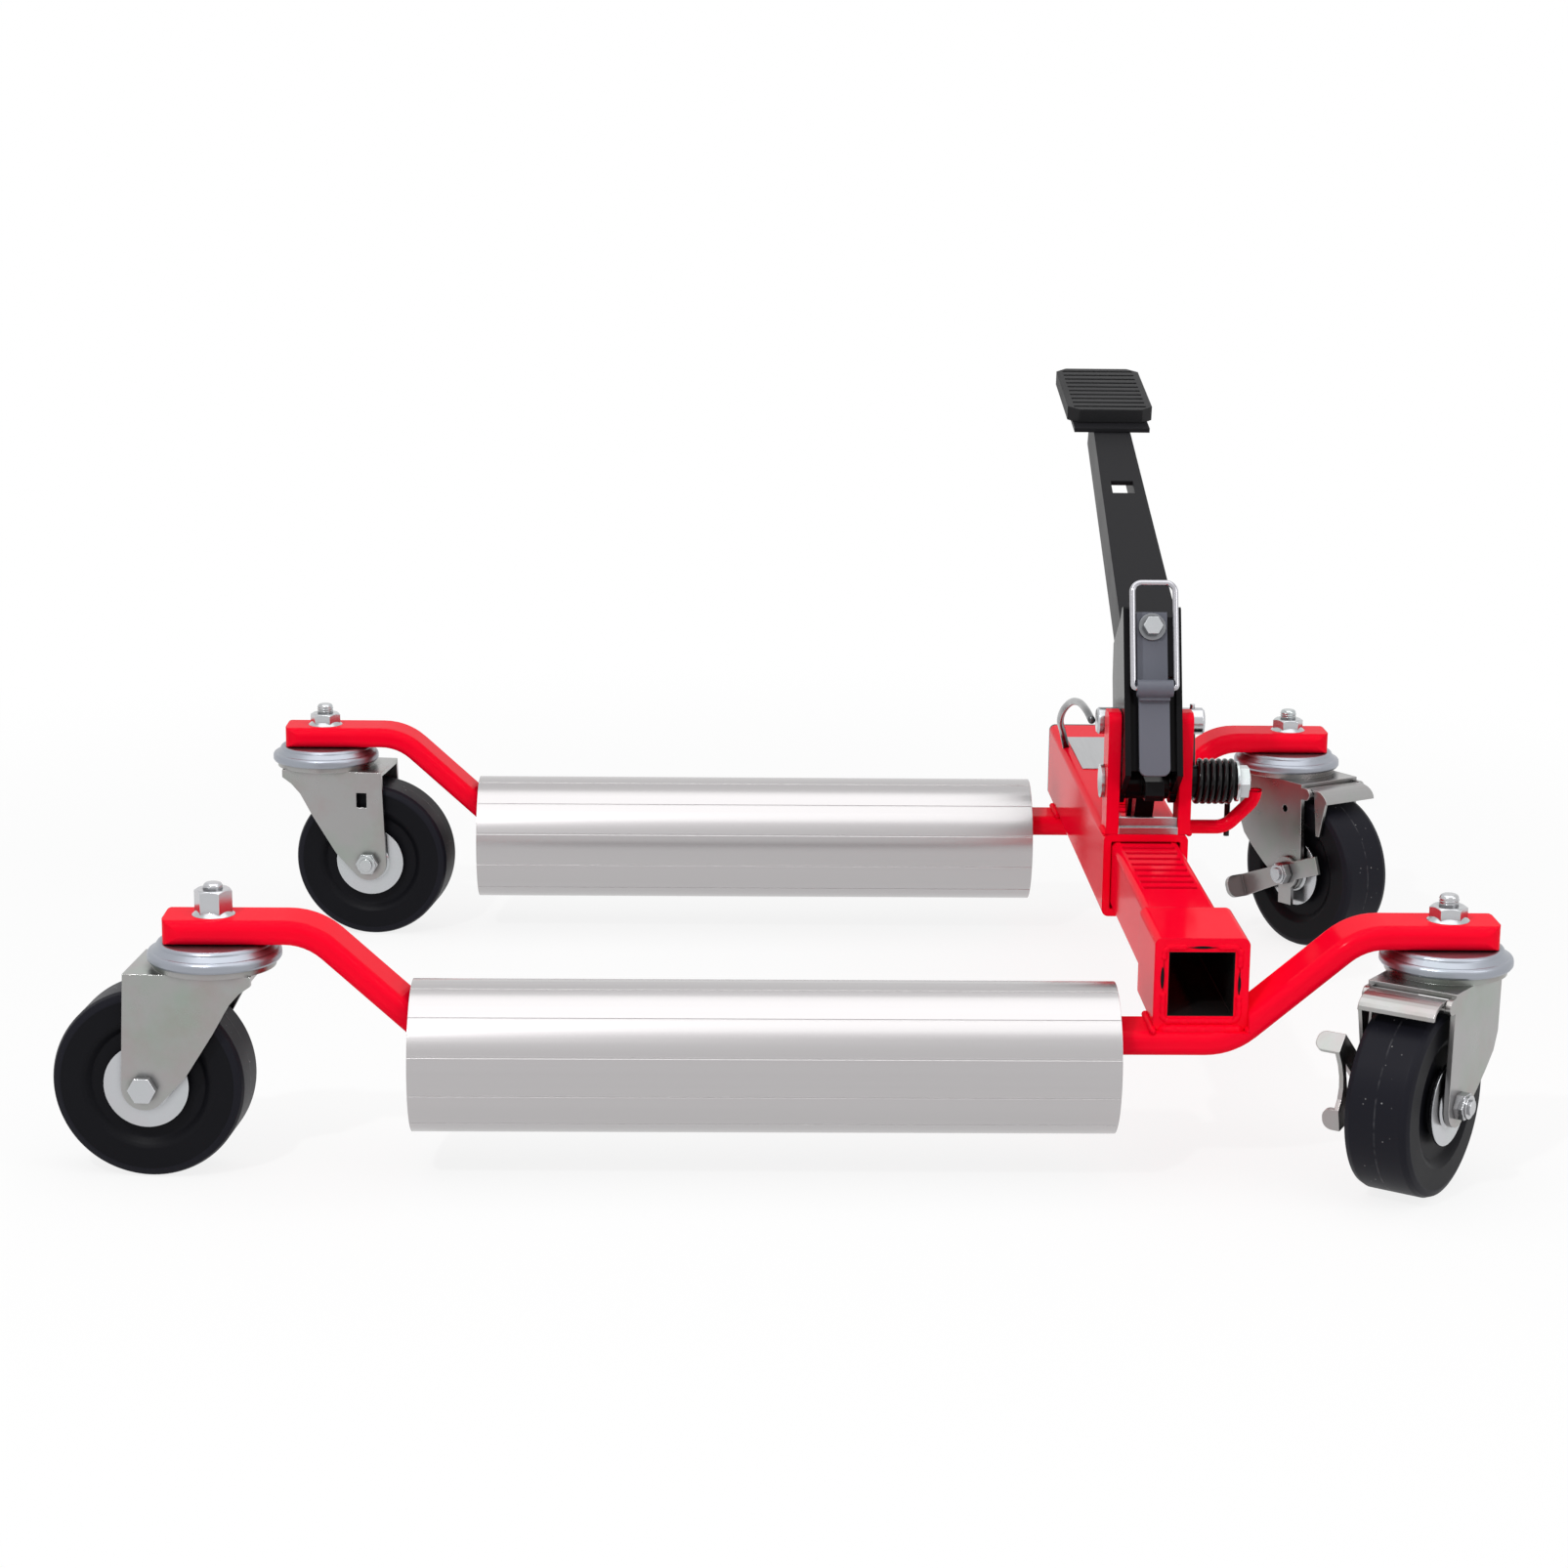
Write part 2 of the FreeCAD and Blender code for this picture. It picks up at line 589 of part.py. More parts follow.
NUT_LOW_Z = ARM_TOP_Z + NUT_FLANGE_T
STEM_NUTS = {
    "fl": (LOCK_NUT_H, LOCK_NUT_PROUD),
    "fr": (NUT_H, STEM_PROUD),
    "rl": (NUT_H, STEM_PROUD),
    "rr": (NUT_H, STEM_PROUD),
}


def stem_bolt(corner):
    """King bolt: round head under the fork, shank up through the bar."""
    nut_h, proud = STEM_NUTS[corner]
    head_top = FORK_TOP_Z - FORK_T - FREE_GAP
    head = rod(STEM_D - 1, V(0, 0, head_top - 5), V(0, 0, head_top))
    shank = rod(STEM_D / 2, V(0, 0, head_top - 1), V(0, 0, NUT_LOW_Z + nut_h + proud))
    tip = max(edge.BoundBox.ZMax for edge in shank.Edges)
    crown = [e for e in shank.Edges if abs(e.BoundBox.ZMin - tip) < 1e-6]
    return head.fuse(shank.makeFillet(STEM_TIP_ROUND, crown))


def stem_nut(corner):
    """Flange nut on the king bolt."""
    nut_h = STEM_NUTS[corner][0]
    low = ARM_TOP_Z
    flange = Part.makeCone(NUT_FLANGE_R, NUT_AF / 2, NUT_FLANGE_T, V(0, 0, low))
    body = hexagon(NUT_AF, V(0, 0, low), V(0, 0, NUT_LOW_Z + nut_h))
    straight = nut_h - NUT_H
    grip = Part.makeCylinder(NUT_AF, NUT_FLANGE_T + straight, V(0, 0, low))
    crown = Part.makeCone(NUT_AF, NUT_AF / 2 - 0.4, NUT_H, V(0, 0, NUT_LOW_Z + straight))
    nut = flange.fuse(body.common(crown.fuse(grip))).removeSplitter()
    return nut.cut(rod(STEM_D / 2 + BOLT_FIT, V(0, 0, 0), V(0, 0, 2 * NUT_LOW_Z)))


def axle_set(head_side, lever):
    """Axle bolt, nut, spacer sleeve and the two cover discs of one wheel."""
    face = {1: FORK_HALF, -1: FORK_HALF + (LEVER_T + 2 * FREE_GAP if lever else 0)}
    head_at = AXLE + Y_AXIS * (head_side * face[head_side])
    nut_at = AXLE - Y_AXIS * (head_side * face[-head_side])
    out = Y_AXIS * head_side
    head = hexagon(AXLE_HEAD_AF, head_at, head_at + out * AXLE_HEAD_H)
    shank = rod(AXLE_D / 2, head_at, nut_at - out * (AXLE_HEAD_H + AXLE_PROUD))
    nut = hexagon(AXLE_HEAD_AF, nut_at, nut_at - out * AXLE_HEAD_H)
    nut = nut.fuse(rod(AXLE_D / 2 + 2.2, nut_at, nut_at - out * (AXLE_HEAD_H + 1.6)))
    nut = nut.cut(rod(AXLE_D / 2 + BOLT_FIT, AXLE - Y_AXIS * FORK_GAP, AXLE + Y_AXIS * FORK_GAP))
    seat = HUB_W / 2 + FREE_GAP
    bore = AXLE_D / 2 + BOLT_FIT
    sleeve = ring(AXLE_SLEEVE_R, bore, AXLE - Y_AXIS * seat, AXLE + Y_AXIS * seat)
    made = [head.fuse(shank), nut, sleeve]
    inner = FORK_GAP / 2
    for side in (-1, 1):
        points = [
            (bore, side * seat),
            (GUARD_R, side * seat),
            (GUARD_R, side * (seat + GUARD_T)),
            (AXLE_SLEEVE_R + 4, side * (seat + GUARD_T)),
            (AXLE_SLEEVE_R + 2, side * inner),
            (bore, side * inner),
        ]
        made.append(lathe(points, AXLE, Y_AXIS))
    return Part.makeCompound(made)


def brake_lever(tabs, tails):
    """Rocker on the axle. Tabs are (degrees, radius, outward reach, width), tails (degrees, radius)."""
    root = AXLE - Y_AXIS * (FORK_HALF + FREE_GAP)
    deep = Y_AXIS * -LEVER_T
    body = rod(LEVER_HUB_R, root, root + deep)
    half = LEVER_ARM_W / 2
    ends = []
    arms = list(tabs) + [tail + (0.0, LEVER_ARM_W) for tail in tails]
    for degrees, radius, reach, width in arms:
        a = math.radians(degrees)
        along = V(math.cos(a), 0, math.sin(a))
        across = V(-math.sin(a), 0, math.cos(a))
        end = root + along * radius
        side = across * (width / 2)
        strip = [root - across * half, end - side, end + side, root + across * half]
        body = body.fuse(prism(strip, deep))
        if reach > 0:
            back = along * LEVER_T
            tab = [end - side, end - side - back, end + side - back, end + side]
            finger = prism(tab, deep - Y_AXIS * reach)
            far = root.y - LEVER_T - reach
            tips = [e for e in finger.Edges
                    if abs(e.CenterOfMass.y - far) < 1e-6 and e.Length < 1.5 * LEVER_T]
            body = body.fuse(finger.makeFillet(width * FINGER_ROUND, tips))
            ends.append((end, side, along))
    if len(ends) == 2:
        (upper, upper_side, upper_along), (lower, lower_side, lower_along) = ends
        first = upper - upper_side
        last = lower + lower_side
        middle = (first + last) * 0.5
        drawn = middle + (root - middle).normalize() * LEVER_DIP
        edge = [first * (1 - k) ** 2 + drawn * (2 * k * (1 - k)) + last * k ** 2
                for k in (0, 0.2, 0.4, 0.6, 0.8, 1.0)]
        link = edge + [last - lower_along * LEVER_ARM_W, first - upper_along * LEVER_ARM_W]
        body = body.fuse(prism(link, deep))
    body = body.cut(rod(AXLE_D / 2 + RUN_FIT, AXLE - Y_AXIS * FORK_GAP, AXLE + Y_AXIS * FORK_GAP))
    return body.removeSplitter()


SHOE_PIN = V(FORK_TRAIL + SHOE_LUG, 0, SHOE_PIN_Z)


def brake_shoe():
    """Bent shoe plate hinged behind the fork, hanging over the tread."""
    half = SHOE_WIDTH / 2
    eye_half = FORK_GAP / 2 - FREE_GAP
    top = SHOE_PIN.z + SHOE_PIN_R + SHOE_T
    under = top - SHOE_T
    start = SHOE_PIN.x + SHOE_LUG + 2 * FREE_GAP
    end = SHOE_PIN.x + SHOE_REACH
    crown = end - start
    steps = 6
    turns = [math.pi / 2 * k / steps for k in range(steps + 1)]
    outer = [(start + crown * math.sin(a), top - SHOE_DROP * (1 - math.cos(a))) for a in turns]
    thin = SHOE_DROP - SHOE_T
    inner = [(start + (crown - SHOE_T) * math.sin(a), under - thin * (1 - math.cos(a))) for a in turns]
    profile = [V(u, -half, z) for u, z in outer + inner[::-1]]
    plate = prism(profile, V(0, SHOE_WIDTH, 0))
    middle = [((a[0] + b[0]) / 2, (a[1] + b[1]) / 2) for a, b in zip(outer, inner)]
    low = [(end - STRAP_TIP[1], STRAP_LOW_Z), (end - STRAP_TIP[0], STRAP_LOW_Z)]
    strap = prism([V(u, -half, z) for u, z in middle + low], V(0, SHOE_T, 0))
    plate = plate.fuse(strap)
    neck = box(SHOE_PIN.x, start + 1, -eye_half, eye_half, under, top)
    bore = SHOE_PIN_R + RUN_FIT
    eye = rod(SHOE_PIN_R + SHOE_T, SHOE_PIN - Y_AXIS * eye_half, SHOE_PIN + Y_AXIS * eye_half)
    body = plate.fuse(neck).fuse(eye).removeSplitter()
    return body.cut(rod(bore, SHOE_PIN - Y_AXIS * FORK_GAP, SHOE_PIN + Y_AXIS * FORK_GAP))


def shoe_lugs():
    """Two lugs on a braked fork's legs and the hinge pin between them."""
    outer = FORK_HALF
    body = rod(SHOE_PIN_R, SHOE_PIN - Y_AXIS * outer, SHOE_PIN + Y_AXIS * outer)
    for start in (-outer, outer - FORK_T):
        body = body.fuse(box(FORK_TRAIL - 3, SHOE_PIN.x, start, start + FORK_T,
                             SHOE_PIN.z - SHOE_LUG, SHOE_PIN.z + SHOE_LUG))
        centre = V(SHOE_PIN.x, start, SHOE_PIN.z)
        body = body.fuse(rod(SHOE_LUG, centre, centre + Y_AXIS * FORK_T))
    return body


# Ears, pivot bolt, anchor bar and wear strip

def ear(side):
    """Upright ear welded on the housing; the pivot bolt goes through it."""
    x0 = EAR_X[0] if side > 0 else -EAR_X[1]
    x1 = x0 + EAR_X[1] - EAR_X[0]
    plate = box(x0, x1, HOUSING_FRONT_Y, EAR_BACK_Y, BEAM_TOP_Z, EAR_TOP_Z)
    top = [e for e in plate.Edges if e.BoundBox.ZMin > EAR_TOP_Z - 1e-6 and e.BoundBox.XLength > 1]
    plate = plate.makeFillet(EAR_ROUND, top)
    hole = PIVOT_D / 2 + BOLT_FIT
    return plate.cut(rod(hole, V(x0 - 1, PIVOT_Y, PIVOT_Z), V(x1 + 1, PIVOT_Y, PIVOT_Z)))


def on_pivot(x):
    """Point on the pivot bolt's axis."""
    return V(x, PIVOT_Y, PIVOT_Z)


SPRING_X0 = EAR_X[1] + SPRING_START
SPRING_X1 = SPRING_X0 + SPRING_TURNS * SPRING_PITCH
SPRING_WASHER_X = SPRING_X1 + SPRING_WIRE / 2 + FREE_GAP
PIVOT_NUT_X = SPRING_WASHER_X + WASHER_T
PIVOT_END_X = PIVOT_NUT_X + PIVOT_NUT_H + 1


def pivot_bolt():
    """Round-headed bolt that the pedal and the holding pawl turn on."""
    head = -EAR_X[1] - PIVOT_HEAD_T
    return rod(PIVOT_HEAD_R, on_pivot(head), on_pivot(-EAR_X[1])).fuse(
        rod(PIVOT_D / 2, on_pivot(head), on_pivot(PIVOT_END_X)))


def pivot_nut():
    """Nut on the pivot bolt's far end."""
    nut = hexagon(PIVOT_NUT_AF, on_pivot(PIVOT_NUT_X), on_pivot(PIVOT_NUT_X + PIVOT_NUT_H))
    return nut.cut(rod(PIVOT_D / 2 + BOLT_FIT, on_pivot(0), on_pivot(2 * PIVOT_END_X)))


def pivot_washer():
    """Washer that keeps the spring on the bolt."""
    bore = PIVOT_D / 2 + BOLT_FIT
    return ring(WASHER_R, bore, on_pivot(SPRING_WASHER_X), on_pivot(PIVOT_NUT_X))


def spring_bush():
    """Spacer inside the return spring."""
    return ring(SPRING_BUSH_R, PIVOT_D / 2 + BOLT_FIT, on_pivot(EAR_X[1]), on_pivot(SPRING_WASHER_X))


def anchor_bar():
    """Bent rod welded to the housing; the spring's lower leg hooks behind it."""
    y = PIVOT_Y + SPRING_R - SPRING_WIRE / 2 - ANCHOR_D / 2 - FREE_GAP
    low = BEAM_TOP_Z - ANCHOR_LIFT
    end_x = PIVOT_END_X + ANCHOR_D / 2 + FREE_GAP
    start = V(BEAM_OUTER / 2, y, low)
    points = [start, start + X_AXIS * ANCHOR_RUN,
              V(end_x, y, low + (end_x - start.x - ANCHOR_RUN)), V(end_x, y, ANCHOR_END_Z)]
    tip = Part.makeSphere(ANCHOR_D / 2, points[-1])
    return swept_rod(bent_path(points, ANCHOR_BEND_R), ANCHOR_D).fuse(tip).removeSplitter()


def wear_strip():
    """Stepped zinc strip across the housing's front edge, between the ears."""
    y = HOUSING_FRONT_Y
    step = WEAR_STRIP_H * 0.45
    profile = [
        V(-EAR_X[0], y, BEAM_TOP_Z),
        V(-EAR_X[0], y + WEAR_STRIP_T[0], BEAM_TOP_Z),
        V(-EAR_X[0], y + WEAR_STRIP_T[0], BEAM_TOP_Z + WEAR_STRIP_H),
        V(-EAR_X[0], y + WEAR_STRIP_T[0] - WEAR_STRIP_T[1], BEAM_TOP_Z + WEAR_STRIP_H),
        V(-EAR_X[0], y + WEAR_STRIP_T[0] - WEAR_STRIP_T[1], BEAM_TOP_Z + step),
        V(-EAR_X[0], y, BEAM_TOP_Z + step),
    ]
    return prism(profile, X_AXIS * EAR_GAP)


# Return spring: a round wire on quarter-turn biarcs, with straight legs

def spring_lean():
    """Lean of the upper leg, so that it passes just behind the cross pin."""
    dy = CROSS_PIN_Y - PIVOT_Y
    dz = CROSS_PIN_Z - PIVOT_Z
    clear = SPRING_R - CROSS_PIN_D / 2 - SPRING_WIRE / 2 - FREE_GAP
    return math.acos(clear / math.hypot(dy, dz)) - math.atan2(dz, dy)


def arc_from(start, tangent, end):
    """Arc that leaves start along a tangent and reaches end."""
    chord = end - start
    along = V(chord).normalize()
    side = tangent - along * tangent.dot(along)
    angle = tangent.getAngle(chord)
    crown = (start + end) * 0.5 + side.normalize() * (chord.Length / 2 * math.tan(angle / 2))
    return Part.Arc(start, crown, end).toShape()


def biarc(start, t0, end, t1):
    """Two tangent arcs from start to end with the given end tangents."""
    v = end - start
    t = t0 + t1
    a = 2 * (t0.dot(t1) - 1)
    b = -2 * v.dot(t)
    c = v.dot(v)
    if abs(a) < 1e-9:
        d = -c / b
    else:
        d = (-b - math.sqrt(b * b - 4 * a * c)) / (2 * a)
    joint = (start + t0 * d + end - t1 * d) * 0.5
    tangent = (end - t1 * d - start - t0 * d).normalize()
    return [arc_from(start, t0, joint), arc_from(joint, tangent, end)]


def spring_path():
    """Upper leg, coils wound downwards at the back, lower leg."""
    lean = spring_lean()
    quarters = 4 * SPRING_TURNS
    total = 2 * math.pi * SPRING_TURNS - lean
    points = []
    tangents = []
    for k in range(quarters + 1):
        a = -lean - total * k / quarters
        x = SPRING_X0 + (SPRING_X1 - SPRING_X0) * k / quarters
        points.append(V(x, PIVOT_Y + SPRING_R * math.cos(a), PIVOT_Z + SPRING_R * math.sin(a)))
        climb = 0 if k in (0, quarters) else SPRING_PITCH / (2 * math.pi)
        tangents.append(V(climb, SPRING_R * math.sin(a), -SPRING_R * math.cos(a)).normalize())
    edges = [Part.makeLine(points[0] - tangents[0] * SPRING_UPPER_LEG, points[0])]
    for k in range(quarters):
        edges += biarc(points[k], tangents[k], points[k + 1], tangents[k + 1])
    edges.append(Part.makeLine(points[-1], points[-1] + tangents[-1] * SPRING_LOWER_LEG))
    return Part.Wire(edges)


def spring_self_gap(path):
    """Least air between neighbouring turns, measured on points of the centre line."""
    samples = path.discretize(Number=1200)
    step = path.Length / 1199
    skip = int(3 * SPRING_WIRE / step)
    least = 1e9
    for i in range(0, 1200, 4):
        for j in range(i + skip, 1200, 2):
            least = min(least, (samples[i] - samples[j]).Length)
    return least - SPRING_WIRE


# Pedal: bracket frame (s up along the bracket, t towards its back), both from the pivot

def at(s, t, x=0.0):
    """Point of the leaning bracket frame."""
    y = PIVOT_Y + s * math.sin(LEAN) + t * math.cos(LEAN)
    z = PIVOT_Z + s * math.cos(LEAN) - t * math.sin(LEAN)
    return V(x, y, z)


S_DIR = V(0, math.sin(LEAN), math.cos(LEAN))
T_DIR = V(0, math.cos(LEAN), -math.sin(LEAN))


def pin_axis(y, z, half):
    """Two end points of a pin along X."""
    return V(-half, y, z), V(half, y, z)


def pedal_bracket():
    """Channel: two cheeks joined by a back web and a front shield, holed for the pins."""
    drive = V(0, DRIVE_PIN_Y, DRIVE_PIN_Z)
    drive_s = (drive - on_pivot(0)).dot(S_DIR)
    drive_t = (drive - on_pivot(0)).dot(T_DIR)
    outline = [
        (-2.5, -BRACKET_FRONT),
        (BRACKET_HEIGHT - 1.5, -BRACKET_FRONT),
        (BRACKET_HEIGHT, 1.5 - BRACKET_FRONT),
        (BRACKET_HEIGHT, 6.0 - BRACKET_FRONT),
        KNEE_TOP,
        KNEE_LOW,
        (KNEE_LOW[0] - 20, BRACKET_BACK),
        (drive_s + 2 * DRIVE_LOBE_R, BRACKET_BACK),
        (drive_s, drive_t + DRIVE_LOBE_R),
        (drive_s - DRIVE_LOBE_R * 0.9, drive_t - 2),
        (-PIVOT_LOBE_R * 0.7, PIVOT_LOBE_R * 0.7),
        (-PIVOT_LOBE_R * 0.7, -PIVOT_LOBE_R * 0.7),
    ]
    made = None
    for x0 in (-BRACKET_HALF, CHEEK_HALF):
        cheek = prism([at(s, t, x0) for s, t in outline], X_AXIS * BRACKET_T)
        cheek = cheek.fuse(rod(PIVOT_LOBE_R, on_pivot(x0), on_pivot(x0 + BRACKET_T)))
        cheek = cheek.fuse(rod(DRIVE_LOBE_R, drive + X_AXIS * x0, drive + X_AXIS * (x0 + BRACKET_T)))
        made = cheek if made is None else made.fuse(cheek)
    web_high = KNEE_LOW[0] - 20
    web_front = BRACKET_BACK - BRACKET_T
    web = prism([at(WEB_LOW_S, web_front, -BRACKET_HALF), at(web_high, web_front, -BRACKET_HALF),
                 at(web_high, BRACKET_BACK, -BRACKET_HALF), at(WEB_LOW_S, BRACKET_BACK, -BRACKET_HALF)],
                X_AXIS * (2 * BRACKET_HALF))
    back = SHIELD_BACK - BRACKET_FRONT
    front = back - SHIELD_T
    shield = prism([at(s, t, -CHEEK_HALF - BRACKET_T / 2)
                    for s, t in ((SHIELD_S[0], front), (SHIELD_S[1], front),
                                 (SHIELD_S[1], back), (SHIELD_S[0], back))],
                   X_AXIS * (2 * CHEEK_HALF + BRACKET_T))
    made = made.fuse(web).fuse(shield).removeSplitter()
    for radius, y, z in ((PIVOT_D / 2 + RUN_FIT, PIVOT_Y, PIVOT_Z),
                         (CROSS_PIN_D / 2 + BOLT_FIT, CROSS_PIN_Y, CROSS_PIN_Z),
                         (DRIVE_PIN_D / 2 + BOLT_FIT, DRIVE_PIN_Y, DRIVE_PIN_Z)):
        made = made.cut(rod(radius, *pin_axis(y, z, EAR_GAP)))
    return made


def cross_pin():
    """Thick pin through the bracket; it stops against the ears and takes the spring's leg."""
    left = -EAR_X[1] - CROSS_PIN_PROUD[0]
    right = EAR_X[1] + CROSS_PIN_PROUD[1]
    pin = rod(CROSS_PIN_D / 2, V(left, CROSS_PIN_Y, CROSS_PIN_Z), V(right, CROSS_PIN_Y, CROSS_PIN_Z))
    pin = pin.makeChamfer(1.2, [e for e in pin.Edges if e.BoundBox.XLength < 1e-6])
    hole = ROLL_PIN_R + BOLT_FIT
    return pin.cut(rod(hole, V(ROLL_PIN_X, CROSS_PIN_Y, 0), V(ROLL_PIN_X, CROSS_PIN_Y, 2 * CROSS_PIN_Z)))


ROLL_PIN_X = EAR_X[1] + 3


def roll_pin():
    """Small roll pin across the cross pin's right end."""
    half = CROSS_PIN_D / 2 + 2.2
    centre = V(ROLL_PIN_X, CROSS_PIN_Y, CROSS_PIN_Z)
    return rod(ROLL_PIN_R, centre - Z_AXIS * half, centre + Z_AXIS * half)


LEAF_TOP_T = 2.0 - BRACKET_FRONT   # front face of the leaf's upper part
LEAF_LOW_T = -3.5 - BRACKET_FRONT  # front face of its lower part
LEAF_EYE = (LEAF_STEP_S + LEAF_EYE_R, LEAF_LOW_T - LEAF_EYE_R + 0.5)


def leaf_strip():
    """Bent release leaf: upper part bolted down, rolled eye for the bail, lower part free."""
    half = LEAF_WIDTH / 2
    step = LEAF_STEP_S + 2
    lower = prism([at(LEAF_LOW_S, LEAF_LOW_T, -half), at(step, LEAF_LOW_T, -half),
                   at(step, LEAF_LOW_T + LEAF_T, -half), at(LEAF_LOW_S, LEAF_LOW_T + LEAF_T, -half)],
                  X_AXIS * LEAF_WIDTH)
    tip = [e for e in lower.Edges
           if abs((e.CenterOfMass - at(0, 0)).dot(S_DIR) - LEAF_LOW_S) < 1e-6 and e.Length < 2 * LEAF_T]
    lower = lower.makeFillet(LEAF_TIP_ROUND, tip)
    eye_at = at(*LEAF_EYE)
    eye_end = X_AXIS * (LEAF_EYE_WIDTH / 2)
    eye = rod(LEAF_EYE_R, eye_at - eye_end, eye_at + eye_end)
    high = LEAF_HIGH_S
    riser = [at(step - 4, LEAF_LOW_T + LEAF_T, -half), at(step - 4, LEAF_EYE[1] + 1, -half),
             at(LEAF_EYE[0] + LEAF_EYE_R, LEAF_EYE[1], -half),
             at(LEAF_EYE[0] + LEAF_EYE_R + 1, LEAF_TOP_T, -half),
             at(high, LEAF_TOP_T, -half), at(high, LEAF_TOP_T + LEAF_T, -half),
             at(LEAF_EYE[0] + LEAF_EYE_R - 2, LEAF_TOP_T + LEAF_T, -half)]
    body = lower.fuse(eye).fuse(prism(riser, X_AXIS * LEAF_WIDTH)).removeSplitter()
    body = body.cut(rod(BAIL_WIRE / 2 + RUN_FIT, eye_at - eye_end * 2, eye_at + eye_end * 2))
    return body.cut(rod(PEDAL_BOLT_D / 2 + BOLT_FIT, at(PEDAL_BOLT_S, -BRACKET_HEIGHT), at(PEDAL_BOLT_S, 0)))


def pedal_bolt():
    """Hex bolt that clamps the leaf on the pedal arm's tongue."""
    seat = LEAF_TOP_T - PEDAL_WASHER_T
    back = LEAF_TOP_T + LEAF_T + TONGUE_T
    head = hexagon(PEDAL_BOLT_AF, at(PEDAL_BOLT_S, seat - PEDAL_BOLT_HEAD), at(PEDAL_BOLT_S, seat))
    return head.fuse(rod(PEDAL_BOLT_D / 2, at(PEDAL_BOLT_S, seat - 1), at(PEDAL_BOLT_S, back + 2)))


def pedal_washer():
    """Washer under the hex head."""
    bore = PEDAL_BOLT_D / 2 + BOLT_FIT
    seat = LEAF_TOP_T - PEDAL_WASHER_T
    return ring(PEDAL_WASHER_R, bore, at(PEDAL_BOLT_S, seat), at(PEDAL_BOLT_S, LEAF_TOP_T))


TONGUE_T = 4.0
KNEE = at(*KNEE_TOP)
ARM_DIR = V(0, math.cos(ARM_PITCH), math.sin(ARM_PITCH))
ARM_DOWN = V(0, math.sin(ARM_PITCH), -math.cos(ARM_PITCH))
PAD_DIR = V(0, math.cos(PAD_PITCH), math.sin(PAD_PITCH))
PAD_UP = V(0, -math.sin(PAD_PITCH), math.cos(PAD_PITCH))
PAD_ORIGIN = KNEE + ARM_DIR * (ARM_LENGTH - PAD_SETBACK) - ARM_DOWN * PAD_RISE


def channel(half0, half1, start, end, top, deep):
    """Tapered block along the arm; half widths at its two ends, from top to deep below."""
    corners = [
        KNEE + ARM_DIR * start + ARM_DOWN * top - X_AXIS * half0,
        KNEE + ARM_DIR * start + ARM_DOWN * top + X_AXIS * half0,
        KNEE + ARM_DIR * end + ARM_DOWN * top + X_AXIS * half1,
        KNEE + ARM_DIR * end + ARM_DOWN * top - X_AXIS * half1,
    ]
    return prism(corners, ARM_DOWN * deep)


def pad_block(p0, p1, half, low, high):
    """Block in the pad's tilted frame: along, half width, below and above the tread plane."""
    corners = [
        PAD_ORIGIN + PAD_DIR * p0 + PAD_UP * low - X_AXIS * half,
        PAD_ORIGIN + PAD_DIR * p0 + PAD_UP * low + X_AXIS * half,
        PAD_ORIGIN + PAD_DIR * p1 + PAD_UP * low + X_AXIS * half,
        PAD_ORIGIN + PAD_DIR * p1 + PAD_UP * low - X_AXIS * half,
    ]
    return prism(corners, PAD_UP * (high - low))


PAD_UNDER = -PAD_SIZE[2] - PAD_PLATE_T


def pedal_arm():
    """Tapered channel, open below, with a tongue that goes down inside the bracket."""
    half0 = ARM_WIDTH[0] / 2
    half1 = ARM_WIDTH[1] / 2
    before = -40.0
    shell = channel(half0, half1, 0, ARM_LENGTH, 0, ARM_DEPTH)
    shell = shell.fuse(channel(half0, half0, before, 0, 0, ARM_DEPTH)).removeSplitter()
    hollow = channel(half0 - ARM_T, half1 - ARM_T, 0, ARM_LENGTH, ARM_T, ARM_DEPTH)
    hollow = hollow.fuse(channel(half0 - ARM_T, half0 - ARM_T, before, 0, ARM_T, ARM_DEPTH))
    shell = shell.cut(hollow)
    far = ARM_LENGTH
    fall = (KNEE_LOW[0] - KNEE_TOP[0]) / (KNEE_LOW[1] - KNEE_TOP[1])
    seam = [(KNEE_TOP[0] + fall * (t - KNEE_TOP[1]), t) for t in (-far, far)]
    side = -far / 2
    below = prism([at(seam[0][0], -far, side), at(seam[1][0], far, side),
                   at(seam[1][0] - far, far, side),
                   at(seam[0][0] - far, -far, side)], X_AXIS * far)
    shell = shell.cut(below)
    shell = shell.cut(pad_block(-far, far, far / 2, PAD_UNDER, far))
    long_half = ARM_HOLE[1] / 2
    wide_half = ARM_HOLE[0] / 2
    window = channel(wide_half, wide_half, ARM_HOLE_AT - long_half, ARM_HOLE_AT + long_half, -5, 7 + ARM_T)
    shell = shell.cut(window)
    half = CHEEK_HALF - SLIDE_GAP
    front = LEAF_TOP_T + LEAF_T
    low = LEAF_EYE[0] + LEAF_EYE_R + 4
    high = KNEE_TOP[0]
    tongue = [at(low, front, -half), at(high, front, -half), at(high, KNEE_TOP[1] + 3, -half),
              at(high - ARM_T, KNEE_TOP[1] + 3, -half), at(high - ARM_T, front + TONGUE_T, -half),
              at(low, front + TONGUE_T, -half)]
    tongue = prism(tongue, X_AXIS * (2 * half))
    body = shell.fuse(tongue).removeSplitter()
    return body.cut(rod(PEDAL_BOLT_D / 2 + BOLT_FIT, at(PEDAL_BOLT_S, -BRACKET_HEIGHT), at(PEDAL_BOLT_S, 0)))


def pad_plate():
    """Steel plate under the foot pad, with a short lip in front."""
    return pad_block(-PAD_LIP, PAD_SIZE[1] - PAD_LIP, PAD_PLATE_W / 2, PAD_UNDER, -PAD_SIZE[2])


